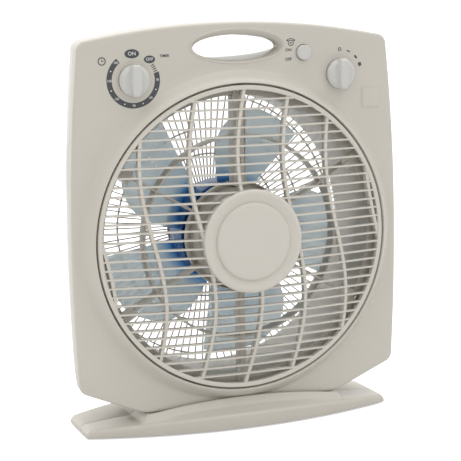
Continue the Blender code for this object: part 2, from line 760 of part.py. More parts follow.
def make_rear_grille(look):
    low, high = GRILLE_FRAME_R
    frame_y = (REAR_LEDGE_Y + GAP, REAR_FACE_Y)
    frame = ((low, frame_y[0]), (high, frame_y[0]), (high, frame_y[1]), (low, frame_y[1]))
    grille = turned("rear_grille", frame, look, GRILLE_BARS, True)
    pieces = [turned("grille_hub", ((54.0, 63.0), (54.0, 66.2), (52.0, 67.2)), None, GRILLE_BARS)]
    for inner, outer, y in GRILLE_RINGS:
        ring = ((inner, y), (outer, y), (outer, y + 4.0), (inner, y + 4.0))
        pieces.append(turned("grille_ring", ring, None, GRILLE_BARS, True))
    for k in range(GRILLE_BARS):
        angle = 360.0 * (k + 0.5) / GRILLE_BARS
        turn = math.radians(angle + 90)
        width, depth = GRILLE_BAR
        path = []
        for radius, y in GRILLE_PATH:
            x, z = polar(radius, angle)
            path.append((x, y, z))
        pieces.append(strip("grille_bar", path, (width * math.cos(turn), width * math.sin(turn)), depth))
    holes = [bore(polar(GRILLE_SCREW_R, a), SCREW_R + GAP, 50.0, 70.0, 8) for a in GRILLE_SCREW_ANGLES]
    return cut(join(grille, pieces), holes)


# Controls


def make_knob(name, x, look, shaft_look, shaft_name):
    front, back = KNOB_Y
    profile = ((KNOB_R - 1.5, front), (KNOB_R, front + 1.5), (KNOB_R + 0.6, back))
    centre = (x, KNOB_Z)
    knob = turned(name, profile, look, 28, False, centre, origin=(x, back, KNOB_Z))
    half = 3.6
    grip = []
    for y, share in ((KNOB_GRIP_Y, 0.8), (front + 2.0, 1.0)):
        reach = KNOB_R - 0.6 if share == 1.0 else KNOB_R - 2.2
        wide = half * share
        sides = ((-wide, -reach), (wide, -reach), (wide, reach), (-wide, reach))
        grip.append([(x + dx, y, KNOB_Z + dz) for dx, dz in sides])
    join(knob, [loft("grip", grip)])
    cut(knob, [bore(centre, KNOB_SHAFT_R + GAP, KNOB_GRIP_Y + 2.0, back + 2.0, 16)])
    shaft = ((KNOB_SHAFT_R, KNOB_GRIP_Y + 2.3), (KNOB_SHAFT_R, -32.3))
    turned(shaft_name, shaft, shaft_look, 16, False, centre, origin=(x, back, KNOB_Z))


def make_controls(knob, steel, plastic, dark):
    make_knob("timer_knob", TIMER_X, knob, steel, "timer_shaft")
    make_knob("speed_knob", SPEED_X, knob, steel, "speed_shaft")
    x, z = BUTTON_AT
    r = BUTTON_R
    plunger = ((r - 1.0, -39.5), (r, -38.5), (r, -25.0), (3.0, -25.0), (3.0, -21.3))
    turned("louvre_button", plunger, knob, 20, False, BUTTON_AT, origin=(x, -39.5, z))
    boxes = (
        ("timer_unit", (TIMER_X - 20.0, -32.0, KNOB_Z - 18.0), (TIMER_X + 20.0, -8.0, KNOB_Z + 18.0), steel),
        ("speed_switch", (SPEED_X - 15.0, -32.0, KNOB_Z - 15.0), (SPEED_X + 15.0, -12.0, KNOB_Z + 15), dark),
        ("louvre_switch", (x - 6.0, -18.0, z - 9.0), (x + 6.0, -4.0, z + 9.0), dark),
        ("run_capacitor", (-158.0, 2.0, 72.0), (-128.0, 26.0, 94.0), plastic),
        ("terminal_block", (116.0, 4.0, 66.0), (146.0, 20.0, 80.0), plastic),
    )
    for name, low, high, look in boxes:
        block(name, low, high, look)
    bush = ((3.4, 46.0), (6.2, 46.0), (6.2, 60.3), (9.0, 60.3), (9.0, 62.5), (7.5, 63.5), (3.4, 63.5))
    turned("cord_inlet", bush, dark, 18, True, CORD_INLET_AT)


# Base


def base_half_depth(x):
    return BASE_END_DEPTH + BASE_BOW * (1 - (x / BASE_HALF_LENGTH) ** 2)


def apron_rise(x, side, wall):
    """How far the front base's apron stands over the pedestal, in front of the body, at x."""
    if side > 0 or wall > 0 or abs(x) >= PEDESTAL_HALF:
        return 0.0
    return APRON_RISE * (1 - (x / PEDESTAL_HALF) ** 2)


def base_section(x, side, wall):
    """A half-base's (y, z) section at x, from its outer foot to the seam. `wall` makes the hollow's."""
    outer = BASE_MID_Y + side * (base_half_depth(x) - wall)
    top = BASE_TOP_Z - BASE_END_FALL * (x / BASE_HALF_LENGTH) ** 2 - wall
    end = max(0.0, abs(x) - (BASE_HALF_LENGTH - wall) + 5.0) / 5.0
    top -= 4.0 * end * end
    rise = min(max((PEDESTAL_HALF + 10.0 - abs(x)) / 10.0, 0.0), 1.0)
    platform = top + rise * (PEDESTAL_Z - wall - top)
    crest = platform + apron_rise(x, side, wall)
    foot = BASE_RIM_Z - 10.0 * (wall > 0)
    section = [(outer, foot), (outer, top - 3.0), (outer - side, top - 0.9), (outer - 3.5 * side, top)]
    for reach, spare, z in ((47.6, 5.0, crest - 0.4), (45.8, 5.8, crest), (45.2, 6.4, platform)):
        inward = min(reach - wall / 2, base_half_depth(x) - wall - spare)
        section.append((BASE_MID_Y + side * inward, z if crest > platform else platform))
    seam = side * (GAP / 2 + wall)
    return section + [(seam, platform), (seam, foot)]


def base_shape(name, side, wall, look=None):
    half = BASE_HALF_LENGTH - wall
    right = [40.0, 80.0, PEDESTAL_HALF, PEDESTAL_HALF + 10.0, 145.0, 165.0, half - 5.0, half - 2.0, half]
    stations = [-x for x in reversed(right)] + [0.0] + right
    return loft(name, [[(x, y, z) for y, z in base_section(x, side, wall)] for x in stations], look)


def make_base_half(name, side, look):
    shell = base_shape(name, side, 0.0, look)
    cut(shell, [base_shape("base_hollow", side, WALL)])
    bosses = []
    holes = []
    for x, y in BASE_SCREWS:
        if y * side > 0:
            bosses.append(turned("screw_boss", ((6.0, 6.5), (6.0, 22.0)), None, 12, False, (x, y), "Z"))
            holes.append(bore((x, y), SCREW_R + GAP, 0.0, 40.0, 8, "Z"))
    for x, y in FOOT_PADS:
        if y * side > 0:
            bosses.append(turned("pad_boss", ((10.0, 4.0), (10.0, 11.5)), None, 16, False, (x, y), "Z"))
    combine(shell, bosses, "UNION", name + "_bosses")
    return combine(shell, holes, "DIFFERENCE", name + "_holes")


def make_feet(rubber):
    for index, (x, y) in enumerate(FOOT_PADS, 1):
        pad = ((8.5, 0.0), (9.0, 0.8), (9.0, 4.0 - GAP))
        turned(f"foot_pad_{index}", pad, rubber, 18, False, (x, y), "Z")


# Fasteners


def screw(name, centre, head_y, tip_y, look, along="Y"):
    """A pan-head screw. Its head is outside head_y, the face it clamps, and its tip is at tip_y."""
    way = 1.0 if head_y > tip_y else -1.0
    radius, height = SCREW_HEAD
    start = head_y + way * GAP
    profile = (
        (SCREW_R, tip_y),
        (SCREW_R, start),
        (radius, start),
        (radius, start + way * height * 0.6),
        (radius * 0.6, start + way * height),
    )
    turned(name, profile, look, 8, False, centre, along)


def make_screws(steel):
    for index, at in enumerate(CASE_SCREWS, 1):
        screw(f"case_screw_{index}", at, CASE_SEAT_Y, 28.0, steel)
    for index, at in enumerate(BASE_SCREWS, 1):
        screw(f"base_screw_{index}", at, 6.5, 32.0, steel, "Z")
    for index, angle in enumerate(BRACKET_SCREW_ANGLES, 1):
        screw(f"bracket_screw_{index}", polar(BRACKET_SCREW_R, angle), LUG_FRONT_Y, -24.0, steel)
    for index, angle in enumerate(GRILLE_SCREW_ANGLES, 1):
        screw(f"grille_screw_{index}", polar(GRILLE_SCREW_R, angle), REAR_FACE_Y, REAR_FACE_Y - 12.0, steel)


def main():
    clear_scene()
    shell = material("shell_plastic", (0.60, 0.57, 0.53), 0.42)
    louvre = material("louvre_plastic", (0.66, 0.62, 0.57), 0.42)
    knob = material("knob_plastic", (0.55, 0.56, 0.56), 0.38)
    blue = material("blue_translucent", (0.28, 0.45, 0.75), 0.25, 0.0, 0.75)
    steel = material("zinc_steel", (0.62, 0.62, 0.60), 0.35, 1.0)
    zinc = material("cast_zinc", (0.55, 0.55, 0.56), 0.45, 1.0)
    copper = material("copper_winding", (0.65, 0.32, 0.16), 0.4, 1.0)
    brass = material("bearing_brass", (0.7, 0.55, 0.28), 0.35, 1.0)
    dark = material("dark_plastic", (0.05, 0.05, 0.055), 0.5)
    white = material("white_plastic", (0.75, 0.75, 0.72), 0.5)
    rubber = material("foot_rubber", (0.04, 0.04, 0.04), 0.85)
    make_front_housing(shell)
    make_rear_housing(shell)
    make_rear_grille(shell)
    make_motor_bracket(louvre)
    make_channel_cover(louvre)
    make_motor_cover(louvre)
    make_motor(steel, zinc, copper, brass, dark)
    make_rotor(steel, dark, blue, knob)
    make_louvre_grille(louvre)
    make_louvre_cap(louvre)
    drive = ((3.5, -71.2), (3.5, -53.0))
    turned("louvre_shaft", drive, steel, 16, origin=(0.0, -53.0, AXIS_Z))
    make_controls(knob, steel, white, dark)
    make_base_half("base_front", -1, shell)
    make_base_half("base_rear", 1, shell)
    make_feet(rubber)
    make_screws(steel)


main()
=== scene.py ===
"""The looks of a 12-inch box fan with a turning louvre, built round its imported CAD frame.

Sizes are in millimetres in the frame's axes (X right seen from the front, Y back, Z up) and become
metres when a mesh is made. "Axis" is the common axis of louvre, motor and impeller, along Y at AXIS_Z.
"""

import json
import math

import bmesh
import bpy
from mathutils import Matrix, Vector


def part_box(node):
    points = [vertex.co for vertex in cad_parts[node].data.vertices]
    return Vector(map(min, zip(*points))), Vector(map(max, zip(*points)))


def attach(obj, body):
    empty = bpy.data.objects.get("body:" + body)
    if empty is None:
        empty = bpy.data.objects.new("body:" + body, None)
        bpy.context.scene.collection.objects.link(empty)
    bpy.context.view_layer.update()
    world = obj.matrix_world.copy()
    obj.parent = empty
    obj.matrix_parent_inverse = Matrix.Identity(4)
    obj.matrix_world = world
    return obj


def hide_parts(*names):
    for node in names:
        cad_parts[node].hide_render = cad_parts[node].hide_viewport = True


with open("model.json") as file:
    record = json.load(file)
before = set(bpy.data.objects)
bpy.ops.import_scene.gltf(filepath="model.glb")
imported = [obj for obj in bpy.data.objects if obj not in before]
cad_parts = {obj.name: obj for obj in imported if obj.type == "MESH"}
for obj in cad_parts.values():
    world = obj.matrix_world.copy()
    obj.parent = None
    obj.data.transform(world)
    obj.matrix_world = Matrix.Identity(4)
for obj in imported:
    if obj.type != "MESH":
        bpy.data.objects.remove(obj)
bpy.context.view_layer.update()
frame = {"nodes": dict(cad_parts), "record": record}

MM = 0.001


def span(node):
    """(lowest, highest) corner of a CAD node, in millimetres."""
    return [[value / MM for value in corner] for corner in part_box(node)]


def middle(node):
    low, high = span(node)
    return [(a + b) / 2 for a, b in zip(low, high)]


# Places that the frame gives
LOUVRE_LOW, LOUVRE_HIGH = span("louvre_grille")
CAP_LOW = span("louvre_cap")[0]
SHELL_LOW, SHELL_HIGH = span("front_housing")
DRUM_LOW, DRUM_HIGH = span("motor_cover")
BRACKET_LOW = span("motor_bracket")[0]
GUARD_HIGH = span("rear_grille")[1]
BASE_HIGH = span("base_front")[1]
FAN_LOW = span("impeller")[0]
AXIS_Z = middle("louvre_cap")[2]
TIMER_X, _, KNOB_Z = middle("timer_knob")
SPEED_X = middle("speed_knob")[0]
KNOB_FRONT, KNOB_BACK = span("timer_knob")[0][1], span("timer_knob")[1][1]
KNOB_R = (span("timer_knob")[1][2] - span("timer_knob")[0][2]) / 2
KNOB_TAPER = 0.97  # the front's size against the skirt's
BUTTON_X, _, BUTTON_Z = middle("louvre_button")
BUTTON_FRONT = span("louvre_button")[0][1]
BUTTON_R = (span("louvre_button")[1][0] - span("louvre_button")[0][0]) / 2

# Body outline
HALF_WIDTH = SHELL_HIGH[0]
WAIST_Z = 205.0
UPPER_SIDE_RADIUS = 2100.0
LOWER_SIDE_RADIUS = 2600.0
BODY_BOTTOM_Z = SHELL_LOW[2]
BOTTOM_FLAT = 119.0
CHAMFER_CORNER = (192.2, 55.2)
TOP_Z = SHELL_HIGH[2]
TOP_RADIUS = 907.0
TOP_CORNER = (183.5, 439.0)
CORNER_RADIUS = 12.0
BEND_RADIUS = 45.0
SIDE_DRAFT = 0.225  # how much each side closes in per mm of depth, behind this depth
DRAFT_START_Y = -22.0
WALL = 2.5
TOP_BAND = 14.0  # the strip under the top edge that leans forward a little
TOP_LEAN = 0.06

# Depths
RING_Y = SHELL_LOW[1]
FACE_Y = -34.8
SEAM_Y = -15.0
DUCT_SEAM_Y = -5.0
HALF_GAP = 0.15
LEDGE_Y = -33.5
REAR_Y = 60.0
REAR_LEDGE_Y = 56.3
REAR_TAPER = ((0.0, 4.0), (0.5, 50.0), (2.0, REAR_Y))
REAR_FLAT_INSET = 4.5

# Radii of the round parts
OPENING_R = 173.5
COLLAR_R = 188.0
DUCT_R = 160.0
REAR_OPENING_R = 171.0
RING_R = LOUVRE_HIGH[0]
RING_INNER_R = 166.0
EDGE_ROUND = 3.5
SHAFT_HOLE_R = 4.5

# Blank name plate
NAME_PLATE_AT = (164.0, 368.5)
NAME_PLATE_HALF = 12.4

# Handle slot: half-axes of its ellipses and how far the lip's funnel reaches in
SLOT_Z = 429.5
SLOT_HALF = (51.0, 14.0)
LIP_OUT = 4.6
LIP_RISE = 1.6
LIP_DEPTH = 6.6
POCKET_FRONT = (59.0, 16.0)
POCKET_REAR = (86.0, 13.0)
POCKET_WALL = 2.4

# Louvre
SLAT_PITCH = 10.0
SLAT = (2.0, 7.0)  # thickness and depth
RIB = (4.0, 8.0)
RIB_PITCH = 55.0
RIB_SWAY = 13.0
RIB_HALF_WAVE = 160.0
RIB_SET_BACK = 0.9
DOME_SLOPE = 0.2
LOUVRE_HUB_R = (53.0, 57.5)
ARM_Y = -64.0  # three arms behind the cap join its ring to a small hub
# The cap's front from its middle outwards: radius, and depth behind its foremost point
CAP_FACE = ((0.6, 0.0), (14.0, 0.05), (28.0, 0.3), (38.0, 0.6), (42.0, 0.9), (43.2, 1.7), (43.6, 3.9))
CAP_FACE += ((45.2, 3.9), (49.5, 2.4), (52.6, 1.2), (54.6, 1.1), (56.8, 1.7), (57.8, 2.8))
CAP_BACK_Y = -72.3
CAP_SLEEVES = ((50.6, 52.6, -66.0, 96), (3.8, 9.0, -60.0, 48))  # radii, back end and sides

# Bracket, drum and fan
HOOP_R = 115.0
DRUM_R = DRUM_HIGH[0]
PLATE_R = (43.0, 62.5)
SPOKE_BACK_Y = -20.5
LUG_R = 170.5
LUG_FRONT_Y = -36.2
CHANNEL_WIDTH = 15.0
HUB_R = 60.0
TIP_R = 147.0
BLADES = 5
BLADE_START = -2.0  # where the first blade's middle stands, in degrees
BLADE_BACK = 24.0  # degrees from a blade's middle to its back edge
BLADE_SWEEP = 31.0  # and to its front edge at the hub
BLADE_Y = (7.0, 40.0)

# Rear guard and the wells round the rear screws. Paths and profiles are (radius, depth) pairs.
GUARD_BARS = 108
GUARD_BAR = (1.2, 2.8)  # width and depth
GUARD_FRAME_R = 162.5
GUARD_RINGS = ((85.0, 86.6, 62.3), (115.0, 116.6, 61.6), (155.0, 156.6, 61.0))  # radii and front
GUARD_RING_DEPTH = 3.6
GUARD_PATH = ((52.0, 63.6), (90.0, 63.2), (130.0, 62.6), (154.0, 62.0), (160.0, 60.4), (165.5, 57.2))
GUARD_DISC = [(0.5, 67.1), (44.0, 67.1), (47.0, 66.4), (50.0, 66.9), (53.0, 66.7), (54.0, 65.6)]
GUARD_DISC += [(54.0, 63.0), (0.5, 63.0)]
SCREW_WELL = [(2.3, 53.7), (4.8, 53.7), (4.8, 59.4), (5.4, 60.0), (6.6, 59.9), (7.0, 58.5)]
SCREW_WELL += [(7.0, 44.3), (2.3, 44.3)]
SCREW_WELL_CUT_R = 5.6
CORD_HOLE_R = 6.5

# Base
BASE_HALF = BASE_HIGH[0]
BASE_MID_Y = 7.0
BASE_END_DEPTH = 36.0
BASE_BOW = 34.0
BASE_TOP_Z = 19.5
BASE_END_FALL = 9.5
PEDESTAL_Z = 23.7
PEDESTAL_HALF = 116.0
APRON_RISE = 8.8


# Materials


def feed(tree, node, **inputs):
    """Sets a node's inputs, and links those that are given as another node's output."""
    for name, value in inputs.items():
        socket = node.inputs[name.replace("_", " ")]
        if isinstance(value, bpy.types.NodeSocket):
            tree.links.new(value, socket)
        else:
            socket.default_value = value
    return node


def new_node(tree, kind, **inputs):
    return feed(tree, tree.nodes.new("ShaderNode" + kind), **inputs)


def noise(tree, coords, scale, detail=2.0, rough=0.5):
    node = new_node(tree, "TexNoise", Vector=coords, Scale=scale, Detail=detail, Roughness=rough)
    return node.outputs["Fac"]


def spread(tree, value, low, high, start=0.3, end=0.7):
    """Maps a 0-1 value, mostly between start and end, onto low-high."""
    node = new_node(tree, "MapRange", Value=value, From_Min=start, From_Max=end, To_Min=low, To_Max=high)
    return node.outputs["Result"]


def ramp(tree, value, stops):
    node = new_node(tree, "ValToRGB", Fac=value)
    line = node.color_ramp
    while len(line.elements) < len(stops):
        line.elements.new(0.5)
    for element, (position, colour) in zip(line.elements, stops):
        element.position = position
        element.color = (*colour, 1.0)
    return node.outputs["Color"]


def shader(name, roughness, metallic=0.0, **more):
    made = bpy.data.materials.new(name)
    made.use_nodes = True
    tree = made.node_tree
    surface = feed(tree, tree.nodes["Principled BSDF"], Roughness=roughness, Metallic=metallic, **more)
    coords = tree.nodes.new("ShaderNodeTexCoord").outputs["Object"]
    return made, tree, surface, coords


def bumped(tree, height, strength, distance):
    return new_node(tree, "Bump", Strength=strength, Distance=distance, Height=height).outputs["Normal"]


def moulded(name, colour, roughness, grain=0.008, tint=0.015):
    """Injection-moulded plastic: a fine spark-eroded grain, faint flow marks and uneven gloss."""
    made, tree, surface, coords = shader(name, roughness)
    dark = [c * (1 - tint) for c in colour]
    light = [min(c * (1 + tint), 1.0) for c in colour]
    flow = noise(tree, coords, 9.0, 3.0, 0.6)
    gloss = noise(tree, coords, 90.0, 3.0, 0.6)
    feed(
        tree,
        surface,
        Base_Color=ramp(tree, flow, ((0.3, dark), (0.7, light))),
        Roughness=spread(tree, gloss, roughness - 0.02, roughness + 0.02),
        Normal=bumped(tree, noise(tree, coords, 900.0), grain, 0.0002),
    )
    return made


def metal(name, colour, roughness, scale=(60.0, 60.0, 2200.0), strength=0.12):
    """Plated or drawn metal: fine scratches along one direction and cloudy gloss."""
    made, tree, surface, coords = shader(name, roughness, 1.0)
    stretch = new_node(tree, "Mapping", Scale=scale, Vector=coords)
    lines = noise(tree, stretch.outputs["Vector"], 1.0, 4.0, 0.6)
    cloud = noise(tree, coords, 180.0)
    dull = [c * 0.86 for c in colour]
    feed(
        tree,
        surface,
        Base_Color=ramp(tree, cloud, ((0.35, dull), (0.65, colour))),
        Roughness=spread(tree, cloud, roughness - 0.07, roughness + 0.09),
        Normal=bumped(tree, lines, strength, 0.0003),
    )
    return made


# The blades' tint between these distances from the axis, in metres
PALE_RADII = (0.058, 0.118)
BLUES = (
    (0.0, (0.01, 0.15, 0.62)),
    (0.08, (0.14, 0.45, 0.86)),
    (0.30, (0.74, 0.89, 0.98)),
    (1.0, (0.86, 0.95, 0.99)),
)


def tinted_clear(name):
    """Clear blue polystyrene: pale where it is thin, deep blue near the hub, where it is thick."""
    made, tree, surface, coords = shader(name, 0.22, IOR=1.42, Transmission_Weight=0.5)
    axis = tree.nodes.new("ShaderNodeVectorMath")
    axis.operation = "MULTIPLY_ADD"
    axis.inputs[1].default_value = (1.0, 0.0, 1.0)
    axis.inputs[2].default_value = (0.0, 0.0, -AXIS_Z * MM)
    tree.links.new(coords, axis.inputs[0])
    radius = new_node(tree, "VectorMath", Vector=axis.outputs["Vector"])
    radius.operation = "LENGTH"
    share = spread(tree, radius.outputs["Value"], 0.0, 1.0, *PALE_RADII)
    streaks = noise(tree, coords, 22.0, 3.0, 0.6)
    feed(tree, surface, Base_Color=ramp(tree, share, BLUES), Roughness=spread(tree, streaks, 0.18, 0.28))
    return made


def wound_wire(name, colour):
    """Enamelled copper wire, wound round the axis: fine rings with a soft sheen."""
    made, tree, surface, coords = shader(name, 0.32, 1.0)
    wires = new_node(tree, "TexWave", Vector=coords, Scale=420.0, Distortion=0.6)
    wires.bands_direction = "Y"
    lines = wires.outputs["Fac"]
    dark = [c * 0.45 for c in colour]
    stripes = ramp(tree, lines, ((0.1, dark), (0.7, colour)))
    feed(tree, surface, Base_Color=stripes, Normal=bumped(tree, lines, 0.5, 0.0004))
    return made


LOOKS = {
    slot: kind(slot, *settings)
    for slot, kind, *settings in (
        ("shell_plastic", moulded, (0.60, 0.57, 0.51), 0.30),
        ("louvre_plastic", moulded, (0.64, 0.61, 0.55), 0.30),
        ("knob_plastic", moulded, (0.60, 0.60, 0.58), 0.24),
        ("blue_translucent", tinted_clear),
        ("zinc_steel", metal, (0.66, 0.66, 0.63), 0.34),
        ("dark_steel", metal, (0.20, 0.20, 0.21), 0.45, (80.0, 3000.0, 80.0)),
        ("cast_zinc", metal, (0.52, 0.52, 0.53), 0.5, (500.0, 500.0, 500.0), 0.3),
        ("copper_winding", wound_wire, (0.62, 0.29, 0.13)),
        ("bearing_brass", metal, (0.66, 0.50, 0.24), 0.36, (900.0, 900.0, 900.0)),
        ("dark_plastic", moulded, (0.045, 0.045, 0.05), 0.46, 0.12, 0.1),
        ("white_plastic", moulded, (0.80, 0.80, 0.77), 0.42),
        ("foot_rubber", moulded, (0.035, 0.035, 0.035), 0.8, 0.35, 0.15),
    )
}
DARK_INK = moulded("dark_ink", (0.072, 0.074, 0.080), 0.5, 0.02, 0.06)
LIGHT_INK = moulded("light_ink", (0.78, 0.79, 0.79), 0.5, 0.02, 0.03)


# Mesh helpers

SHARP = 38.0  # degrees between faces whose edge stays sharp


def polar(radius, degrees):
    angle = math.radians(degrees)
    return radius * math.cos(angle), AXIS_Z + radius * math.sin(angle)


def ease(t):
    t = min(max(t, 0.0), 1.0)
    return t * t * (3 - 2 * t)


def soften(profile, cut, steps=3, closed=True):
    """A profile with each corner replaced by a short curve that starts `cut` away from it."""
    count = len(profile)
    points = []
    for k, corner in enumerate(profile):
        if not closed and k in (0, count - 1):
            points.append(tuple(corner))
            continue
        ends = []
        for other in (profile[k - 1], profile[(k + 1) % count]):
            length = math.dist(other, corner)
            share = min(cut, 0.45 * length) / length
            ends.append([c + (o - c) * share for c, o in zip(corner, other)])
        for step in range(steps + 1):
            t = step / steps
            near, mid, far = (1 - t) ** 2, 2 * t * (1 - t), t * t
            points.append(tuple(near * a + mid * c + far * b for a, c, b in zip(ends[0], corner, ends[1])))
    return points


def finish_mesh(mesh, sharp):
    shape = bmesh.new()
    shape.from_mesh(mesh)
    bmesh.ops.recalc_face_normals(shape, faces=shape.faces)
    shape.to_mesh(mesh)
    shape.free()
    mesh.shade_smooth()
    mesh.set_sharp_from_angle(angle=math.radians(sharp))


class Shape:
    """Points and faces of one piece, gathered from closed forms."""

    def __init__(self):
        self.points = []
        self.faces = []

    def add(self, points, faces):
        start = len(self.points)
        self.points += points
        self.faces += [tuple(start + k for k in face) for face in faces]
        return self

    def loft(self, loops, closed=False):
        """Skins loops of equally many points. A closed loft joins its last loop to the first."""
        count = len(loops[0])
        faces = []
        for k in range(len(loops) if closed else len(loops) - 1):
            here, there = k * count, (k + 1) % len(loops) * count
            for i in range(count):
                j = (i + 1) % count
                faces.append((here + i, here + j, there + j, there + i))
        if not closed:
            last = (len(loops) - 1) * count
            faces += [tuple(range(count)), tuple(range(last, last + count))]
        return self.add([p for loop in loops for p in loop], faces)

    def turned(self, profile, sides=96, centre=None, along="Y", tube=True):
        """Turns (radius, depth) pairs round an axis along Y at (x, z), or along Z at (x, y)."""
        cx, cz = centre or (0.0, AXIS_Z)
        loops = []
        for radius, depth in profile:
            loop = []
            for k in range(sides):
                angle = 2 * math.pi * k / sides
                across, up = cx + radius * math.cos(angle), cz + radius * math.sin(angle)
                loop.append((across, depth, up) if along == "Y" else (across, up, depth))
            loops.append(loop)
        return self.loft(loops, tube)

    def band(self, inner, outer, front, back, cut=0.0, steps=3, sides=144):
        """A ring of rectangular section round the axis, with its edges softened."""
        section = [(inner, front), (outer, front), (outer, back), (inner, back)]
        return self.turned(soften(section, cut, steps) if cut else section, sides)

    def bar(self, path, across, size, edge=0.5, steps=2):
        """A bar whose front edge follows `path`. `across` is the direction of its width at each point."""
        width, depth = size
        corners = [(-width / 2, 0.0), (width / 2, 0.0), (width / 2, depth), (-width / 2, depth)]
        section = soften(corners, edge, steps)
        loops = []
        for (x, y, z), (ax, az) in zip(path, across):
            loops.append([(x + ax * s, y + t, z + az * s) for s, t in section])
        return self.loft(loops)

    def radial(self, degrees, stations, size, edge=0.5, steps=2):
        """A bar that runs outwards from the axis through (radius, depth) stations."""
        turn = math.radians(degrees + 90)
        path = []
        for radius, y in stations:
            x, z = polar(radius, degrees)
            path.append((x, y, z))
        return self.bar(path, [(math.cos(turn), math.sin(turn))] * len(path), size, edge, steps)

    def box(self, low, high, edge=0.0):
        """A block with rounded upright edges."""
        flat = [(low[0], low[1]), (high[0], low[1]), (high[0], high[1]), (low[0], high[1])]
        flat = soften(flat, edge) if edge else flat
        return self.loft([[(x, y, z) for x, y in flat] for z in (low[2], high[2])])

    def made(self, name, sharp=SHARP):
        mesh = bpy.data.meshes.new(name)
        mesh.from_pydata([[value * MM for value in p] for p in self.points], [], self.faces)
        finish_mesh(mesh, sharp)
        obj = bpy.data.objects.new(name, mesh)
        bpy.context.scene.collection.objects.link(obj)
        return obj


def carve(obj, shapes, sharp=SHARP):
    """Cuts shapes from obj."""
    group = bpy.data.collections.new("cutters")
    cutters = [shape.made("cutter") for shape in shapes]
    for cutter in cutters:
        group.objects.link(cutter)
    step = obj.modifiers.new("carve", "BOOLEAN")
    step.operation = "DIFFERENCE"
    step.operand_type = "COLLECTION"
    step.collection = group
    step.solver = "EXACT"
    bpy.context.view_layer.update()
    graph = bpy.context.evaluated_depsgraph_get()
    mesh = bpy.data.meshes.new_from_object(obj.evaluated_get(graph))
    obj.modifiers.clear()
    obj.data = mesh
    mesh.materials.clear()
    finish_mesh(mesh, sharp)
    for cutter in cutters:
        bpy.data.objects.remove(cutter, do_unlink=True)
    bpy.data.collections.remove(group)
    return obj


def place(obj, body, slot, nodes=(), look=None):
    """Gives a piece its material and its body, and hides the CAD nodes that it stands for."""
    obj.data.materials.append(look or LOOKS[slot])
    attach(obj, body)
    if nodes:
        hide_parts(*nodes)


# Body outline and front face


def side_x(z):
    rise = z - WAIST_Z
    return HALF_WIDTH - rise * rise / (2 * (UPPER_SIDE_RADIUS if rise > 0 else LOWER_SIDE_RADIUS))


def top_z(x):
    return TOP_Z - x * x / (2 * TOP_RADIUS)


def body_corners():
    """The outline's corners and curve points as (x, z, radius), from the underside's middle round."""
    half = [(float(x), BODY_BOTTOM_Z, 0.0) for x in range(0, 105, 13)]
    half.append((BOTTOM_FLAT, BODY_BOTTOM_Z, BEND_RADIUS))
    for share in (0.28, 0.42, 0.56, 0.70):
        across = BOTTOM_FLAT + (CHAMFER_CORNER[0] - BOTTOM_FLAT) * share
        half.append((across, BODY_BOTTOM_Z + (CHAMFER_CORNER[1] - BODY_BOTTOM_Z) * share, 0.0))
    half.append((*CHAMFER_CORNER, CORNER_RADIUS))
    half += [(side_x(z), float(z), 0.0) for z in range(72, 421, 12)]
    half.append((*TOP_CORNER, CORNER_RADIUS))
    half += [(float(x), top_z(x), 0.0) for x in range(160, 0, -13)]
    return half + [(0.0, TOP_Z, 0.0)] + [(-x, z, r) for x, z, r in reversed(half[1:])]


def arc(before, corner, after, radius, steps):
    """Points of the arc that rounds a corner between two straight neighbours."""
    ways = []
    for other in (before, after):
        length = math.dist(other[:2], corner[:2])
        ways.append(((other[0] - corner[0]) / length, (other[1] - corner[1]) / length))
    half = math.acos(ways[0][0] * ways[1][0] + ways[0][1] * ways[1][1]) / 2
    bisector = (ways[0][0] + ways[1][0], ways[0][1] + ways[1][1])
    reach = radius / math.sin(half) / math.hypot(*bisector)
    centre = (corner[0] + bisector[0] * reach, corner[1] + bisector[1] * reach)
    tangent = radius / math.tan(half)
    angles = [
        math.atan2(corner[1] + way[1] * tangent - centre[1], corner[0] + way[0] * tangent - centre[0])
        for way in ways
    ]
    sweep = (angles[1] - angles[0] + math.pi) % (2 * math.pi) - math.pi
    turns = [angles[0] + sweep * k / steps for k in range(steps + 1)]
    return [(centre[0] + radius * math.cos(a), centre[1] + radius * math.sin(a)) for a in turns]


CORNERS = body_corners()


def outline(inset):
    """The body's (x, z) outline moved inwards, always with equally many points."""
    count = len(CORNERS)
    moved = []
    for k, (x, z, radius) in enumerate(CORNERS):
        before, after = CORNERS[k - 1], CORNERS[(k + 1) % count]
        normals = []
        for a, b in ((before, (x, z)), ((x, z), after)):
            length = math.dist(a[:2], b[:2])
            normals.append(((a[1] - b[1]) / length, (b[0] - a[0]) / length))
        scale = inset / (1 + normals[0][0] * normals[1][0] + normals[0][1] * normals[1][1])
        across = (normals[0][0] + normals[1][0]) * scale
        moved.append((x + across, z + (normals[0][1] + normals[1][1]) * scale, radius))
    points = []
    for k, (x, z, radius) in enumerate(moved):
        if radius:
            points += arc(moved[k - 1], (x, z), moved[(k + 1) % count], max(radius - inset, 2.5), 7)
        else:
            points.append((x, z))
    return points


OUTLINE = outline(0.0)


def front_y(x, z):
    """Depth of the front face: collar round the louvre, flat, and leaning strip at the top."""
    out = min(max((math.hypot(x, z - AXIS_Z) - OPENING_R) / (COLLAR_R - OPENING_R), 0.0), 1.0)
    collar = 0.65 * ease(out) + 0.35 * (1 - math.cos(math.pi / 2 * out))
    over = z - (top_z(x) - TOP_BAND)
    return RING_Y + (FACE_Y - RING_Y) * collar - TOP_LEAN * max(over, 0.0) * ease((over + 2) / 6)


def drafted(x, y, z):
    """The point moved towards the middle, because the sides close in towards the back."""
    return x * (1 - SIDE_DRAFT * max(y - DRAFT_START_Y, 0.0) / HALF_WIDTH), y, z


def edge_loop(inset, y):
    """A loop of the inset outline at one depth."""
    return [drafted(x, y, z) for x, z in outline(inset)]


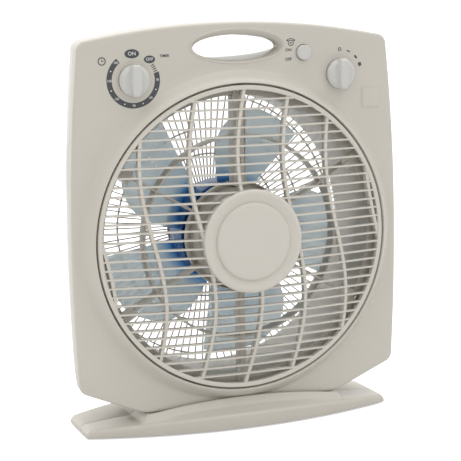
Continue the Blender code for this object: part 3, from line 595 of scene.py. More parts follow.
def face_edge_loop(inset, behind):
    """A loop of the inset outline that lies this far behind the front face."""
    return [drafted(x, front_y(x, z) + behind, z) for x, z in outline(inset)]


def circle_loop(radius, y):
    loop = []
    for x, z in OUTLINE:
        angle = math.atan2(z - AXIS_Z, x)
        loop.append((radius * math.cos(angle), y, AXIS_Z + radius * math.sin(angle)))
    return loop


def circle_loops(*rings):
    return [circle_loop(radius, y) for radius, y in rings]


def between(inner, outer, share, depth):
    """A loop part of the way between two others, laid on the front face."""
    loop = []
    for a, b in zip(inner, outer):
        x, z = a[0] + (b[0] - a[0]) * share, a[2] + (b[2] - a[2]) * share
        loop.append((x, front_y(x, z) + depth, z))
    return loop


def face_loops(rim, edge, depth, collar_steps, flat_steps):
    """Loops of the face from the louvre's opening out to its edge, close together on the collar."""
    foot = []
    for a, b in zip(rim, edge):
        reach, limit = math.hypot(a[0], a[2] - AXIS_Z), math.hypot(b[0], b[2] - AXIS_Z)
        share = min((COLLAR_R - reach) / (limit - reach), 0.8)
        x, z = a[0] + (b[0] - a[0]) * share, a[2] + (b[2] - a[2]) * share
        foot.append((x, front_y(x, z) + depth, z))
    loops = [between(rim, foot, k / collar_steps, depth) for k in range(1, collar_steps + 1)]
    return loops + [between(foot, edge, k / flat_steps, depth) for k in range(1, flat_steps)]


def ellipse(half, depth, rise=0.0):
    turns = [2 * math.pi * (k + 0.5) / 96 for k in range(96)]
    return [(half[0] * math.cos(a), depth, SLOT_Z + rise + half[1] * math.sin(a)) for a in turns]


def grown(half, by):
    return half[0] + by, half[1] + by


# Front shell


def slot_lip():
    """The handle slot's raised lip, its funnel and its tunnel to the seam, as one ring of plastic."""
    profile = (
        (LIP_OUT + 1.8, 0.6, 1.0),
        (LIP_OUT + 1.5, -0.2, 1.0),
        (LIP_OUT + 0.9, -0.75, 1.0),
        (LIP_OUT + 0.2, -0.9, 1.0),
        (LIP_OUT - 0.5, -0.5, 0.9),
        (LIP_OUT - 1.5, 0.8, 0.75),
        (LIP_OUT - 2.9, 2.9, 0.4),
        (LIP_OUT - 3.9, 4.9, 0.12),
        (0.15, LIP_DEPTH - 0.4, 0.0),
        (0.0, LIP_DEPTH + 1.2, 0.0),
    )
    back = SEAM_Y - HALF_GAP - FACE_Y
    profile += ((0.0, back - 0.5, 0.0), (0.4, back, 0.0), (2.2, back, 0.0))
    profile += ((2.4, 9.0, 0.0), (LIP_OUT + 1.8, 3.4, 1.0))
    loops = [ellipse(grown(SLOT_HALF, by), FACE_Y + y, LIP_RISE * rise) for by, y, rise in profile]
    return Shape().loft(loops, closed=True)


def drill(centre, radius, low, high, sides=64):
    return Shape().turned(((radius, low), (radius, high)), sides, centre, tube=False)


def make_front_shell():
    rim = circle_loop(OPENING_R + 1.0, RING_Y)
    edge = face_edge_loop(EDGE_ROUND, 0.0)
    loops = [circle_loop(OPENING_R, RING_Y + 1.0), circle_loop(OPENING_R + 0.3, RING_Y + 0.3), rim]
    loops += face_loops(rim, edge, 0.0, 14, 6) + [edge]
    for step in range(1, 7):
        angle = math.radians(15 * step)
        inset, behind = (EDGE_ROUND * (1 - turn(angle)) for turn in (math.sin, math.cos))
        loops.append(face_edge_loop(inset, behind))
    seam = SEAM_Y - HALF_GAP
    loops += [edge_loop(0.0, seam - 0.45), edge_loop(0.45, seam), edge_loop(WALL, seam)]
    inner_edge = face_edge_loop(EDGE_ROUND + WALL, WALL)
    loops += [face_edge_loop(WALL, EDGE_ROUND + WALL), inner_edge]
    inner_rim = circle_loop(OPENING_R + WALL, RING_Y + 6.0)
    loops += face_loops(inner_rim, inner_edge, WALL, 5, 3)[::-1] + [inner_rim]
    ledge = LEDGE_Y + WALL
    duct_back = DUCT_SEAM_Y - HALF_GAP
    loops += circle_loops(
        (OPENING_R + WALL, ledge),
        (DUCT_R + WALL, ledge),
        (DUCT_R + WALL, duct_back),
        (DUCT_R, duct_back),
        (DUCT_R, LEDGE_Y + 1.4),
        (DUCT_R + 0.4, LEDGE_Y + 0.4),
        (DUCT_R + 1.4, LEDGE_Y),
        (OPENING_R, LEDGE_Y),
    )
    shell = Shape().loft(loops, closed=True).made("shell_front")
    slot = grown(SLOT_HALF, LIP_OUT + 0.6)
    holes = [Shape().loft([ellipse(slot, y, LIP_RISE) for y in (-50.0, -20.0)])]
    shafts = [((x, KNOB_Z), SHAFT_HOLE_R, 32) for x in (TIMER_X, SPEED_X)]
    for at, radius, sides in (((BUTTON_X, BUTTON_Z), BUTTON_R + 1.6, 64), *shafts):
        holes.append(drill(at, radius, FACE_Y - 9.0, FACE_Y + 9.0, sides))
    carve(shell, holes)
    place(shell, "housing", "shell_plastic", ("front_housing",))
    place(slot_lip().made("handle_lip", 50.0), "housing", "shell_plastic")


def bezel(shape, x, z, inner, outer, front, back):
    """A soft ring set into the face, round the button or under a dial."""
    profile = [(inner, back), (inner, front + 0.4), (inner + 0.5, front), (outer - 0.9, front)]
    profile += [(outer, FACE_Y + 0.5), (outer, back)]
    return shape.turned(soften(profile, 0.4, 2), 96, (x, z))


def make_face_details():
    """The button's bezel, the flat rings under the dials, and the blank name plate."""
    shape = Shape()
    bezel(shape, BUTTON_X, BUTTON_Z, BUTTON_R + 0.5, BUTTON_R + 2.6, FACE_Y - 0.45, -27.0)
    for x in (TIMER_X, SPEED_X):
        bezel(shape, x, KNOB_Z, KNOB_R - 1.2, KNOB_R + 2.3, FACE_Y - 0.35, FACE_Y + 1.4)
    place(shape.made("dial_rings"), "housing", "shell_plastic")
    plate = Shape()
    x_mid, z_mid = NAME_PLATE_AT
    steps = ((0.0, FACE_Y - 0.35, FACE_Y + 1.0), (1.5, FACE_Y - 1.1, FACE_Y + 0.6))
    for inset, front, back in steps:
        size = NAME_PLATE_HALF - inset
        flat = soften([(-size, -size), (size, -size), (size, size), (-size, size)], 2.5, 5)
        loops = []
        for share, y in ((1.0, back), (1.0, front + 0.2), (0.985, front + 0.03), (0.96, front)):
            loops.append([(x_mid + x * share, y, z_mid + z * share) for x, z in flat])
        plate.loft(loops)
    place(plate.made("blank_plate", 25.0), "housing", "shell_plastic")


# Rear shell


def pocket_half(y):
    t = (y - SEAM_Y) / (REAR_Y - SEAM_Y)
    return tuple(a + (b - a) * t for a, b in zip(POCKET_FRONT, POCKET_REAR))


def grip_pocket():
    """The grip pocket behind the slot, which widens towards the back, with a rounded rear rim."""
    start = SEAM_Y + HALF_GAP
    stations = [start + (REAR_Y - 2.0 - start) * k / 8 for k in range(9)]
    loops = [ellipse(pocket_half(y), y) for y in stations]
    for by, ahead in ((0.5, 0.7), (1.2, 0.1), (2.2, 0.0), (3.2, 0.25), (3.4, 1.2)):
        loops.append(ellipse(grown(pocket_half(REAR_Y), by), REAR_Y - ahead))
    for y in reversed(stations):
        loops.append(ellipse(grown(pocket_half(y), POCKET_WALL), y))
    return Shape().loft(loops, closed=True)


def make_rear_shell():
    start = SEAM_Y + HALF_GAP
    profile = [(0.45, start), (0.0, start + 0.45), *REAR_TAPER, (REAR_FLAT_INSET, REAR_Y)]
    smooth = [profile[0]] + soften(profile[1:], 7.0, 6, closed=False)[1:-1]
    loops = [edge_loop(inset, y) for inset, y in smooth]
    rear_edge = loops[-1]
    rim = circle_loop(REAR_OPENING_R + 0.8, REAR_Y)
    for k in range(1, 4):
        loops.append([tuple(a + (b - a) * k / 4 for a, b in zip(p, q)) for p, q in zip(rear_edge, rim)])
    duct_front = DUCT_SEAM_Y + HALF_GAP
    loops.append(rim)
    loops += circle_loops(
        (REAR_OPENING_R + 0.2, REAR_Y - 0.2),
        (REAR_OPENING_R, REAR_Y - 0.8),
        (REAR_OPENING_R, REAR_LEDGE_Y),
        (DUCT_R + 2.0, REAR_LEDGE_Y),
        (DUCT_R + 0.6, 52.0),
        (DUCT_R, 48.0),
        (DUCT_R, duct_front),
        (DUCT_R + WALL, duct_front),
        (DUCT_R + WALL, 47.0),
        (DUCT_R + WALL + 2.0, REAR_LEDGE_Y - WALL),
        (REAR_OPENING_R + WALL, REAR_LEDGE_Y - WALL),
        (REAR_OPENING_R + WALL, REAR_Y - WALL),
    )
    loops += [edge_loop(inset + WALL, y - WALL) for inset, y in reversed(REAR_TAPER[1:])]
    loops.append(edge_loop(WALL, start))
    shell = Shape().loft(loops, closed=True).made("shell_rear")
    low, high = REAR_Y - 10.0, REAR_Y + 10.0
    holes = [Shape().loft([ellipse(grown(POCKET_REAR, 1.9), y) for y in (low, high)])]
    screws = []
    for index in range(1, 5):
        x, _, z = middle(f"case_screw_{index}")
        screws.append((x, z))
        holes.append(drill((x, z), SCREW_WELL_CUT_R, REAR_Y - 5.0, high, 48))
    inlet = middle("cord_inlet")
    holes.append(drill((inlet[0], inlet[2]), CORD_HOLE_R, low, high, 48))
    carve(shell, holes)
    place(shell, "housing", "shell_plastic", ("rear_housing",))
    wells = Shape()
    for at in screws:
        wells.turned(SCREW_WELL, 48, at)
    place(wells.made("screw_wells"), "housing", "shell_plastic")
    place(grip_pocket().made("grip_pocket", 50.0), "housing", "shell_plastic")


def make_rear_guard():
    """The rear guard: a rounded frame, three rings, a hub disc and fine radial bars."""
    shape = Shape()
    shape.band(GUARD_FRAME_R, GUARD_HIGH[0], REAR_LEDGE_Y + 0.3, REAR_Y, 0.8)
    for inner, outer, y in GUARD_RINGS:
        shape.band(inner, outer, y, y + GUARD_RING_DEPTH, 0.7, 2)
    shape.turned(soften(GUARD_DISC, 0.8), 96)
    for k in range(GUARD_BARS):
        shape.radial(360.0 * (k + 0.5) / GUARD_BARS, GUARD_PATH, GUARD_BAR, 0.4, 1)
    place(shape.made("guard_rear"), "housing", "shell_plastic", ("rear_grille",))


# Louvre


def slat_y(radius):
    return RING_Y + 0.5 - DOME_SLOPE * (RING_INNER_R - radius)


def make_louvre():
    shape = Shape()
    back = LOUVRE_HIGH[1]
    ring = [(RING_INNER_R, RING_Y + 0.3), (RING_R - 2.0, RING_Y), (RING_R - 0.6, RING_Y + 0.6)]
    ring += [(RING_R - 0.6, back), (RING_INNER_R + 0.6, back)]
    shape.turned(soften(ring, 1.3, 4), 180)
    hub_low, hub_high = LOUVRE_HUB_R
    front = LOUVRE_LOW[1]
    shape.band(hub_low, hub_high, front, front + 12.0, 0.6, 2, 120)
    for angle in (0.0, 120.0, 240.0):
        shape.radial(angle, [(radius, ARM_Y) for radius in (9.5, hub_low + 1.0)], (3.0, 3.0))
    shape.band(9.3, 12.5, ARM_Y - 1.0, ARM_Y + 3.5, sides=48)
    hub_middle = (hub_low + hub_high) / 2
    reach = RING_INNER_R + 3.0
    rows = int(RING_INNER_R // SLAT_PITCH)
    for row in range(-rows, rows):
        z = (row + 0.5) * SLAT_PITCH
        outer = math.sqrt(reach * reach - z * z)
        inner = math.sqrt(hub_middle * hub_middle - z * z) if abs(z) < hub_middle else 0.0
        for low, high in ((-outer, -inner), (inner, outer)) if inner else ((-outer, outer),):
            steps = max(3, round((high - low) / 9.0))
            xs = [low + (high - low) * k / steps for k in range(steps + 1)]
            path = [(x, slat_y(math.hypot(x, z)), AXIS_Z + z) for x in xs]
            shape.bar(path, [(0.0, 1.0)] * len(path), SLAT, 0.55)
    for index in range(-3, 4):
        stretch = []
        for step in range(-84, 86):
            z = 2.0 * step
            x = index * RIB_PITCH - RIB_SWAY * math.sin(math.pi * z / RIB_HALF_WAVE)
            if hub_middle < math.hypot(x, z) < reach and step < 85:
                stretch.append((x, z))
                continue
            if len(stretch) > 2:
                depths = [slat_y(math.hypot(*p)) + RIB_SET_BACK for p in stretch]
                path = [(px, depth, AXIS_Z + pz) for (px, pz), depth in zip(stretch, depths)]
                wave = math.pi / RIB_HALF_WAVE
                lean = [-RIB_SWAY * wave * math.cos(wave * pz) for _, pz in stretch]
                across = [(1 / math.hypot(1, s), -s / math.hypot(1, s)) for s in lean]
                shape.bar(path, across, RIB, 0.8)
            stretch = []
    place(shape.made("louvre_front", 42.0), "louvre", "louvre_plastic", ("louvre_grille",))


def make_cap():
    profile = [(radius, CAP_LOW[1] + depth) for radius, depth in CAP_FACE]
    profile += [(58.0, CAP_BACK_Y - 0.5), (57.6, CAP_BACK_Y)]
    cap = Shape().turned(profile, 144, tube=False)
    for inner, outer, end, sides in CAP_SLEEVES:
        cap.band(inner, outer, CAP_BACK_Y - 0.3, end, sides=sides)
    place(cap.made("louvre_dish", 50.0), "louvre", "louvre_plastic", ("louvre_cap",))


# Bracket, drum and fan


def spoke(shape, angle, inner, outer, width, front, back, edge=0.6):
    stations = [(radius, front) for radius in (inner, (inner + outer) / 2, outer)]
    shape.radial(angle, stations, (width, back - front), edge)


def make_bracket():
    shape = Shape()
    low, high = PLATE_R
    front, back = BRACKET_LOW[1], SPOKE_BACK_Y
    shape.band(low, high, back - 1.5, back + 1.0, 0.6, 2, 120)
    shape.band(high - 1.6, high, back - 6.5, back - 0.5, 0.5, 2, 120)
    shape.band(HOOP_R - 1.3, HOOP_R + 1.3, front, back - 2.0, 0.7)
    for angle in (30, 90, 150, 210, 270, 330):
        width = {90: 0.0, 270: 6.0}.get(angle, 3.0)
        if width:
            spoke(shape, angle, DRUM_R + 1.0, DUCT_R - 1.5, width, front + 0.4, back)
        spoke(shape, angle, DUCT_R - 12.0, LUG_R, 14.0, LUG_FRONT_Y, LEDGE_Y - 0.3)
    wall, reach = 1.8, (AXIS_Z + DRUM_R + 1.0, AXIS_Z + DUCT_R - 1.5)
    outer = CHANNEL_WIDTH / 2
    for side in (-1, 1):
        low_x, high_x = sorted((side * outer, side * (outer - wall)))
        shape.box((low_x, front + 0.4, reach[0]), (high_x, back, reach[1]), 0.6)
    shape.box((-outer + 0.4, back - 6.5, reach[0]), (outer - 0.4, back + 0.2, reach[1]), 0.4)
    for low_z, high_z in ((reach[0], reach[0] + 3.0), (reach[1] - 13.0, reach[1])):
        shape.box((-outer + 0.4, front + 0.5, low_z), (outer - 0.4, back, high_z), 0.5)
    place(shape.made("bracket"), "housing", "louvre_plastic", ("motor_bracket",))
    low, high = span("channel_cover")
    cover = Shape().box(tuple(low), tuple(high), 0.6).made("wire_cover")
    slot_z = high[2] - 15.0
    cuts = [Shape().box((-1.6, -45.0, slot_z - 7.0), (1.6, -30.0, slot_z + 7.0), 0.5)]
    for drop in (58.0, 62.5):
        z = high[2] - drop
        cuts.append(Shape().box((-0.9, -45.0, z), (0.9, -30.0, z + 2.0)))
    carve(cover, cuts)
    place(cover, "housing", "louvre_plastic", ("channel_cover",))


def make_drum():
    front, back = DRUM_LOW[1], DRUM_HIGH[1]
    r = DRUM_R
    profile = [(6.0, front), (r, front), (r, back), (r - 2.0, back)]
    profile += [(r - 2.0, front + 2.0), (6.0, front + 2.0)]
    drum = Shape().turned(soften(profile, 2.6, 4), 120).made("drum")
    vents = []
    for k in range(-7, 8):
        x = 6.4 * k
        if abs(x) < 9.0:
            continue
        reach = math.sqrt((r - 7.0) ** 2 - x * x)
        low, high = (x - 1.5, front - 5.0, AXIS_Z - reach), (x + 1.5, front + 2.8, AXIS_Z + reach)
        vents.append(Shape().box(low, high))
    carve(drum, vents)
    place(drum, "housing", "louvre_plastic", ("motor_cover",))


def front_edge_angle(radius):
    """Degrees from a blade's middle to its swept front edge."""
    t = (radius - HUB_R) / (TIP_R - HUB_R)
    return BLADE_SWEEP - 7.0 * t - 22.0 * max(t, 0.0) ** 4


def blade_rows(centre, radius):
    """The blade's front and back rows of points at one radius: a thin helix with rounded edges."""
    low, high = BLADE_Y
    slope = (high - low) / (BLADE_BACK + BLADE_SWEEP)
    ahead = front_edge_angle(radius)
    root = ease((78.0 - radius) / 20.0)
    rows = []
    for side in (-1, 1):
        row = []
        for k in range(19):
            t = 0.5 - 0.5 * math.cos(math.pi * k / 18)
            angle = -BLADE_BACK + (ahead + BLADE_BACK) * t
            y = high - slope * (angle + BLADE_BACK)
            thick = (0.9 + 0.5 * root) * (0.30 + 0.70 * math.sin(math.pi * t) ** 0.5)
            x, z = polar(radius, centre + angle)
            row.append((x, y + side * thick, z))
        rows.append(row)
    return rows


def make_fan():
    front, back = FAN_LOW[1], 38.0
    cup = [(4.3, back), (HUB_R, back), (HUB_R, front), (HUB_R - 2.6, front), (HUB_R - 2.6, back - 4.0)]
    cup += [(10.0, back - 4.0), (10.0, back - 22.0), (4.3, back - 22.0)]
    hub = Shape().turned(soften(cup, 1.2, 3), 120)
    for k in range(30):
        angle = 360.0 * k / 30 + 4.0
        spoke(hub, angle, HUB_R - 6.0, HUB_R - 2.0, 1.8, front + 0.8, back - 5.0, 0.4)
    for k in range(6):
        spoke(hub, 60.0 * k + 14.0, 9.5, HUB_R - 2.2, 1.8, back - 16.0, back - 3.5, 0.4)
    place(hub.made("fan_hub"), "rotor", "blue_translucent", ("impeller",))
    blades = Shape()
    radii = [HUB_R - 1.0 + (TIP_R - HUB_R + 1.0) * (1 - (1 - k / 14) ** 1.3) for k in range(15)]
    for index in range(BLADES):
        centre = BLADE_START + 360.0 / BLADES * index
        sections = [blade_rows(centre, radius) for radius in radii]
        blades.loft([near + far[::-1] for near, far in sections])
    place(blades.made("fan_blades", 60.0), "rotor", "blue_translucent")
    front, back = (corner[1] for corner in span("impeller_nut"))
    nut = [(4.3, front), (13.0, front), (12.0, back - 6.0), (8.0, back), (4.3, back)]
    spinner = Shape().turned(soften(nut, 0.9), 60)
    for k in range(12):
        spoke(spinner, 30.0 * k, 10.5, 13.0, 1.6, front, back - 5.4, 0.4)
    place(spinner.made("fan_nut"), "rotor", "knob_plastic", ("impeller_nut",))


# Controls


def knob_front(x, z, reach):
    """Depth of a dial's front: a disc that falls to a round edge, with a lens-shaped grip across it."""
    disc = KNOB_BACK - 5.4 + 2.6 * ease((reach - 0.72) / 0.28) ** 2
    half = 5.0 - 1.6 * (z / KNOB_R) ** 2
    grip = 1 - ease((abs(x) - half) / 2.4)
    crown = KNOB_FRONT + 0.9 * (z / KNOB_R) ** 2 + 0.10 * (x / 4.0) ** 2
    crown += 1.1 * ease((reach - 0.86) / 0.14)
    return disc + (crown - disc) * grip


def make_knob(name, node, body, x):
    """A dial: rings of a height field, then its skirt, closed behind, with a bore for its shaft."""
    turns = [2 * math.pi * k / 120 for k in range(120)]
    loops = []
    rings = 26
    for k in range(rings + 1):
        reach = 0.02 + 0.98 * k / rings
        loop = []
        for a in turns:
            dx, dz = KNOB_R * reach * math.cos(a) * KNOB_TAPER, KNOB_R * reach * math.sin(a) * KNOB_TAPER
            loop.append((x + dx, knob_front(dx, dz, reach), KNOB_Z + dz))
        loops.append(loop)
    for radius, ahead in ((KNOB_R - 0.1, None), (KNOB_R, 1.2), (KNOB_R, 0.3), (KNOB_R - 0.4, 0.0)):
        loop = []
        for a in turns:
            dx, dz = radius * math.cos(a), radius * math.sin(a)
            front = knob_front(dx * KNOB_TAPER, dz * KNOB_TAPER, 1.0) + 0.8
            y = min(front, KNOB_BACK - 1.6) if ahead is None else KNOB_BACK - ahead
            loop.append((x + dx, y, KNOB_Z + dz))
        loops.append(loop)
    knob = Shape().loft(loops).made(name, 50.0)
    carve(knob, [drill((x, KNOB_Z), 3.3, KNOB_FRONT + 2.0, KNOB_BACK + 2.0, 32)], 50.0)
    place(knob, body, "knob_plastic", (node,))


def make_controls():
    make_knob("dial_timer", "timer_knob", "timer_dial", TIMER_X)
    make_knob("dial_speed", "speed_knob", "speed_dial", SPEED_X)
    r, front = BUTTON_R, BUTTON_FRONT
    profile = [(0.4, front + 0.35), (3.0, front + 0.3), (r - 2.0, front + 0.05), (r - 0.7, front + 0.1)]
    profile += [(r - 0.15, front + 0.6), (r, front + 1.3), (r, -25.0), (3.0, -25.0)]
    profile += [(3.0, -21.3), (0.4, -21.3)]
    button = Shape().turned(profile, 72, (BUTTON_X, BUTTON_Z), tube=False)
    place(button.made("swing_button", 50.0), "button", "knob_plastic", ("louvre_button",))


# Printed marks: thin raised ink that follows the face


INK = 0.14  # half the thickness of a film
ON_INK = 0.16  # how far a light mark stands in front of a dark one


def ink(loops, lift=0.0):
    """A closed film over flat (x, z) loops of equally many points, laid `lift` in front of the face."""
    shape = Shape()
    count = len(loops[0])
    front = [[(x, front_y(x, z) - lift - INK, z) for x, z in loop] for loop in loops]
    back = [[(x, front_y(x, z) - lift + INK, z) for x, z in loop] for loop in loops]
    points = [p for loop in front + back for p in loop]
    side = len(loops) * count
    faces = []
    for k in range(len(loops) - 1):
        for i in range(count - 1):
            a = k * count + i
            b = side + a
            faces += [(a, a + 1, a + count + 1, a + count), (b, b + count, b + count + 1, b + 1)]
    rim = list(range(count)) + [k * count + count - 1 for k in range(1, len(loops))]
    rim += [(len(loops) - 1) * count + i for i in range(count - 2, -1, -1)]
    rim += [k * count for k in range(len(loops) - 2, 0, -1)]
    faces += [(a, b, side + b, side + a) for a, b in zip(rim, rim[1:] + rim[:1])]
    return shape.add(points, faces)


def clock(radius, degrees, x, z):
    """(x, z) of a point at this clock angle, 0 at the top, round a centre."""
    angle = math.radians(degrees)
    return x + radius * math.sin(angle), z + radius * math.cos(angle)


def ring_ink(x, z, inner, outer, start=0.0, end=359.9, steps=None):
    steps = steps or max(2, round(abs(end - start) / 4))
    turns = [start + (end - start) * k / steps for k in range(steps + 1)]
    return ink([[clock(r, a, x, z) for a in turns] for r in (inner, (inner + outer) / 2, outer)])


def oval_ink(x, z, across, up, lift=0.0):
    """A filled oval."""
    rows = []
    for k in range(13):
        t = -math.pi / 2 + math.pi * k / 12
        half = max(math.cos(t), 0.04) * across
        rows.append([(x + half * s, z + up * math.sin(t)) for s in (-1.0, -0.5, 0.0, 0.5, 1.0)])
    return ink(rows, lift)


def block_ink(x, z, across, up, tilt=0.0):
    """A filled block, tilted clockwise."""
    sine, cosine = math.sin(math.radians(tilt)), math.cos(math.radians(tilt))
    rows = [[(a, b) for a in (-across / 2, across / 2)] for b in (-up / 2, up / 2)]
    return ink([[(x + a * cosine + b * sine, z - a * sine + b * cosine) for a, b in row] for row in rows])


def text_ink(body, x, z, height, lift, bold):
    """Plain lettering as closed film, `height` tall, centred on (x, z)."""
    curve = bpy.data.curves.new("lettering", "FONT")
    curve.body = body
    curve.align_x = "CENTER"
    curve.align_y = "CENTER"
    curve.size = height * 1.42
    curve.offset = bold
    curve.extrude = INK
    curve.resolution_u = 4
    helper = bpy.data.objects.new("lettering", curve)
    bpy.context.scene.collection.objects.link(helper)
    bpy.context.view_layer.update()
    mesh = bpy.data.meshes.new_from_object(helper.evaluated_get(bpy.context.evaluated_depsgraph_get()))
    bpy.data.objects.remove(helper, do_unlink=True)
    flat = bmesh.new()
    flat.from_mesh(mesh)
    bmesh.ops.remove_doubles(flat, verts=flat.verts, dist=0.002)
    points = []
    for vertex in flat.verts:
        px, pz = x + vertex.co.x, z + vertex.co.y
        points.append((px, front_y(px, pz) - lift - vertex.co.z, pz))
    flat.verts.index_update()
    faces = [tuple(v.index for v in face.verts) for face in flat.faces]
    flat.free()
    bpy.data.meshes.remove(mesh)
    bpy.data.curves.remove(curve)
    return Shape().add(points, faces)


def make_prints():
    dark, light = Shape(), Shape()

    def put(target, *films):
        for film in films:
            target.add(film.points, film.faces)

    inner, outer, band = 24.4, 30.3, 27.4
    put(dark, ring_ink(TIMER_X, KNOB_Z, inner, outer, 73.0, 322.0))
    for k in range(4):
        start = 53.0 + 5.0 * k
        put(dark, ring_ink(TIMER_X, KNOB_Z, inner + 0.6, outer - 1.2, start, start + 2.2))
    for k, number in enumerate(("30", "60", "90", "120", "150", "180")):
        x, z = clock(band, 90.0 + 45.0 * k, TIMER_X, KNOB_Z)
        put(light, text_ink(number, x, z, 2.5, ON_INK, 0.02))
        if k < 5:
            x, z = clock(band, 112.5 + 45.0 * k, TIMER_X, KNOB_Z)
            put(light, oval_ink(x, z, 0.75, 0.75, ON_INK))
    on_x, on_z = clock(28.7, -2.0, TIMER_X, KNOB_Z)
    off_x, off_z = clock(29.1, 40.5, TIMER_X, KNOB_Z)
    put(dark, oval_ink(on_x, on_z, 8.3, 4.9), oval_ink(off_x, off_z, 6.4, 4.2))
    put(light, text_ink("ON", on_x, on_z, 4.0, ON_INK, 0.02))
    put(light, text_ink("OFF", off_x, off_z, 3.4, ON_INK, 0.02))
    put(dark, text_ink("TIMER", TIMER_X + 35.9, KNOB_Z + 25.4, 2.9, 0.0, 0.08))
    clock_x, clock_z = TIMER_X - 34.9, KNOB_Z + 21.4
    put(dark, ring_ink(clock_x, clock_z, 3.4, 4.5, steps=40))
    put(dark, block_ink(clock_x, clock_z + 1.2, 0.7, 2.6), block_ink(clock_x + 1.0, clock_z, 2.4, 0.7))
    put(dark, ring_ink(*clock(27.5, 1.0, SPEED_X, KNOB_Z), 1.2, 2.1, steps=28))
    for degrees, across, up in ((24.6, 4.2, 1.3), (48.3, 4.2, 2.3), (69.0, 4.2, 3.8)):
        put(dark, block_ink(*clock(27.5, degrees, SPEED_X, KNOB_Z), across, up, degrees))
    icon_x, icon_z = BUTTON_X - 15.2, BUTTON_Z + 11.0
    put(dark, ring_ink(icon_x, icon_z, 2.6, 3.5, steps=32), oval_ink(icon_x, icon_z, 1.0, 1.0))
    put(dark, ring_ink(icon_x, icon_z, 4.6, 5.3, -52.0, 52.0))
    for side in (-1, 1):
        x, z = clock(5.0, 56.0 * side, icon_x, icon_z)
        put(dark, block_ink(x, z, 1.9, 1.9, 45.0 + 11.0 * side))
    put(dark, text_ink("ON", BUTTON_X - 18.2, BUTTON_Z + 3.0, 3.3, 0.0, 0.10))
    put(dark, text_ink("OFF", BUTTON_X - 18.2, BUTTON_Z - 7.4, 3.3, 0.0, 0.10))
    place(dark.made("marks_dark"), "housing", "dark_plastic", look=DARK_INK)
    place(light.made("marks_light"), "housing", "white_plastic", look=LIGHT_INK)


# Base


def half_depth(x):
    return BASE_END_DEPTH + BASE_BOW * (1 - (x / BASE_HALF) ** 2)


def base_section(x, side, wall):
    """A half-base's (y, z) section at x. The front half has an apron that stands up before the body."""
    outer = BASE_MID_Y + side * (half_depth(x) - wall)
    top = BASE_TOP_Z - BASE_END_FALL * (x / BASE_HALF) ** 2 - wall
    end = max(0.0, abs(x) - (BASE_HALF - wall) + 5.0) / 5.0
    top -= 4.0 * end * end
    rise = ease((PEDESTAL_HALF + 10.0 - abs(x)) / 10.0)
    platform = top + rise * (PEDESTAL_Z - wall - top)
    apron = 0.0
    if side < 0 and not wall:
        apron = APRON_RISE * max(0.0, 1 - (x / PEDESTAL_HALF) ** 2)
    foot = 1.5 - 10.0 * (wall > 0)
    spine = [(outer, foot), (outer, top - 3.2), (outer - side * 1.2, top - 0.8), (outer - side * 4.2, top)]
    depth = half_depth(x) - wall
    middle_y = BASE_MID_Y + side * min(52.5 - wall / 2, depth - 5.2)
    spine.append((middle_y, top + (platform + apron - top) * 0.30))
    crest = platform + apron
    for reach, spare, z in ((47.0, 5.8, crest), (45.8, 6.4, crest), (45.2, 7.0, platform)):
        spine.append((BASE_MID_Y + side * min(reach - wall / 2, depth - spare), z))
    seam = side * (HALF_GAP + wall)
    spine += [(seam, platform), (seam, foot)]
    return spine if wall else soften(spine, 1.5, 3)


def base_loft(side, wall):
    half = BASE_HALF - wall
    stations = [half * k / 16 for k in range(-15, 16)] + [-half, half]
    for back in (0.5, 1.2, 2.2, 3.6, 5.0, 7.5):
        stations += [half - back, back - half]
    for beyond in (0.0, 2.5, 5.0, 7.5, 10.0):
        stations += [PEDESTAL_HALF + beyond, -PEDESTAL_HALF - beyond]
    stations = sorted(set(round(x, 3) for x in stations))
    return Shape().loft([[(x, y, z) for y, z in base_section(x, side, wall)] for x in stations])


def make_base():
    for side, name, node in ((-1, "foot_front", "base_front"), (1, "foot_rear", "base_rear")):
        half = base_loft(side, 0.0).made(name, 30.0)
        carve(half, [base_loft(side, WALL)], 30.0)
        place(half, "housing", "shell_plastic", (node,))


# Screws and small parts


def cross_screws(name, nodes, way, along="Y"):
    """Pan-head screws with a cross recess. `way` is +1 where the head is at the node's higher end."""
    shape = Shape()
    cuts = []
    for node in nodes:
        low, high = span(node)
        cx, cy = (low[0] + high[0]) / 2, (low[2] + high[2]) / 2 if along == "Y" else (low[1] + high[1]) / 2
        axis = 1 if along == "Y" else 2
        top, tip = (high[axis], low[axis]) if way > 0 else (low[axis], high[axis])
        under = top - way * 2.4
        profile = [(0.3, tip), (1.6, tip + way * 1.6), (2.0, tip + way * 3.0), (2.0, under), (4.0, under)]
        profile += [(4.0, under + way * 0.9), (3.3, under + way * 1.9), (2.0, top - way * 0.1), (0.3, top)]
        shape.turned(profile, 40, (cx, cy), along, tube=False)
        for turn in (20.0, 110.0):
            angle = math.radians(turn)
            long, thin = 1.9, 0.42
            loop = []
            for a, b in ((-long, -thin), (long, -thin), (long, thin), (-long, thin)):
                across = cx + a * math.cos(angle) - b * math.sin(angle)
                loop.append((across, cy + a * math.sin(angle) + b * math.cos(angle)))
            ends = [top - way * 1.5, top + way * 1.0]
            loops = [[(px, e, py) if along == "Y" else (px, py, e) for px, py in loop] for e in ends]
            cuts.append(Shape().loft(loops))
    screws = carve(shape.made(name), cuts)
    place(screws, "housing", "zinc_steel", nodes)


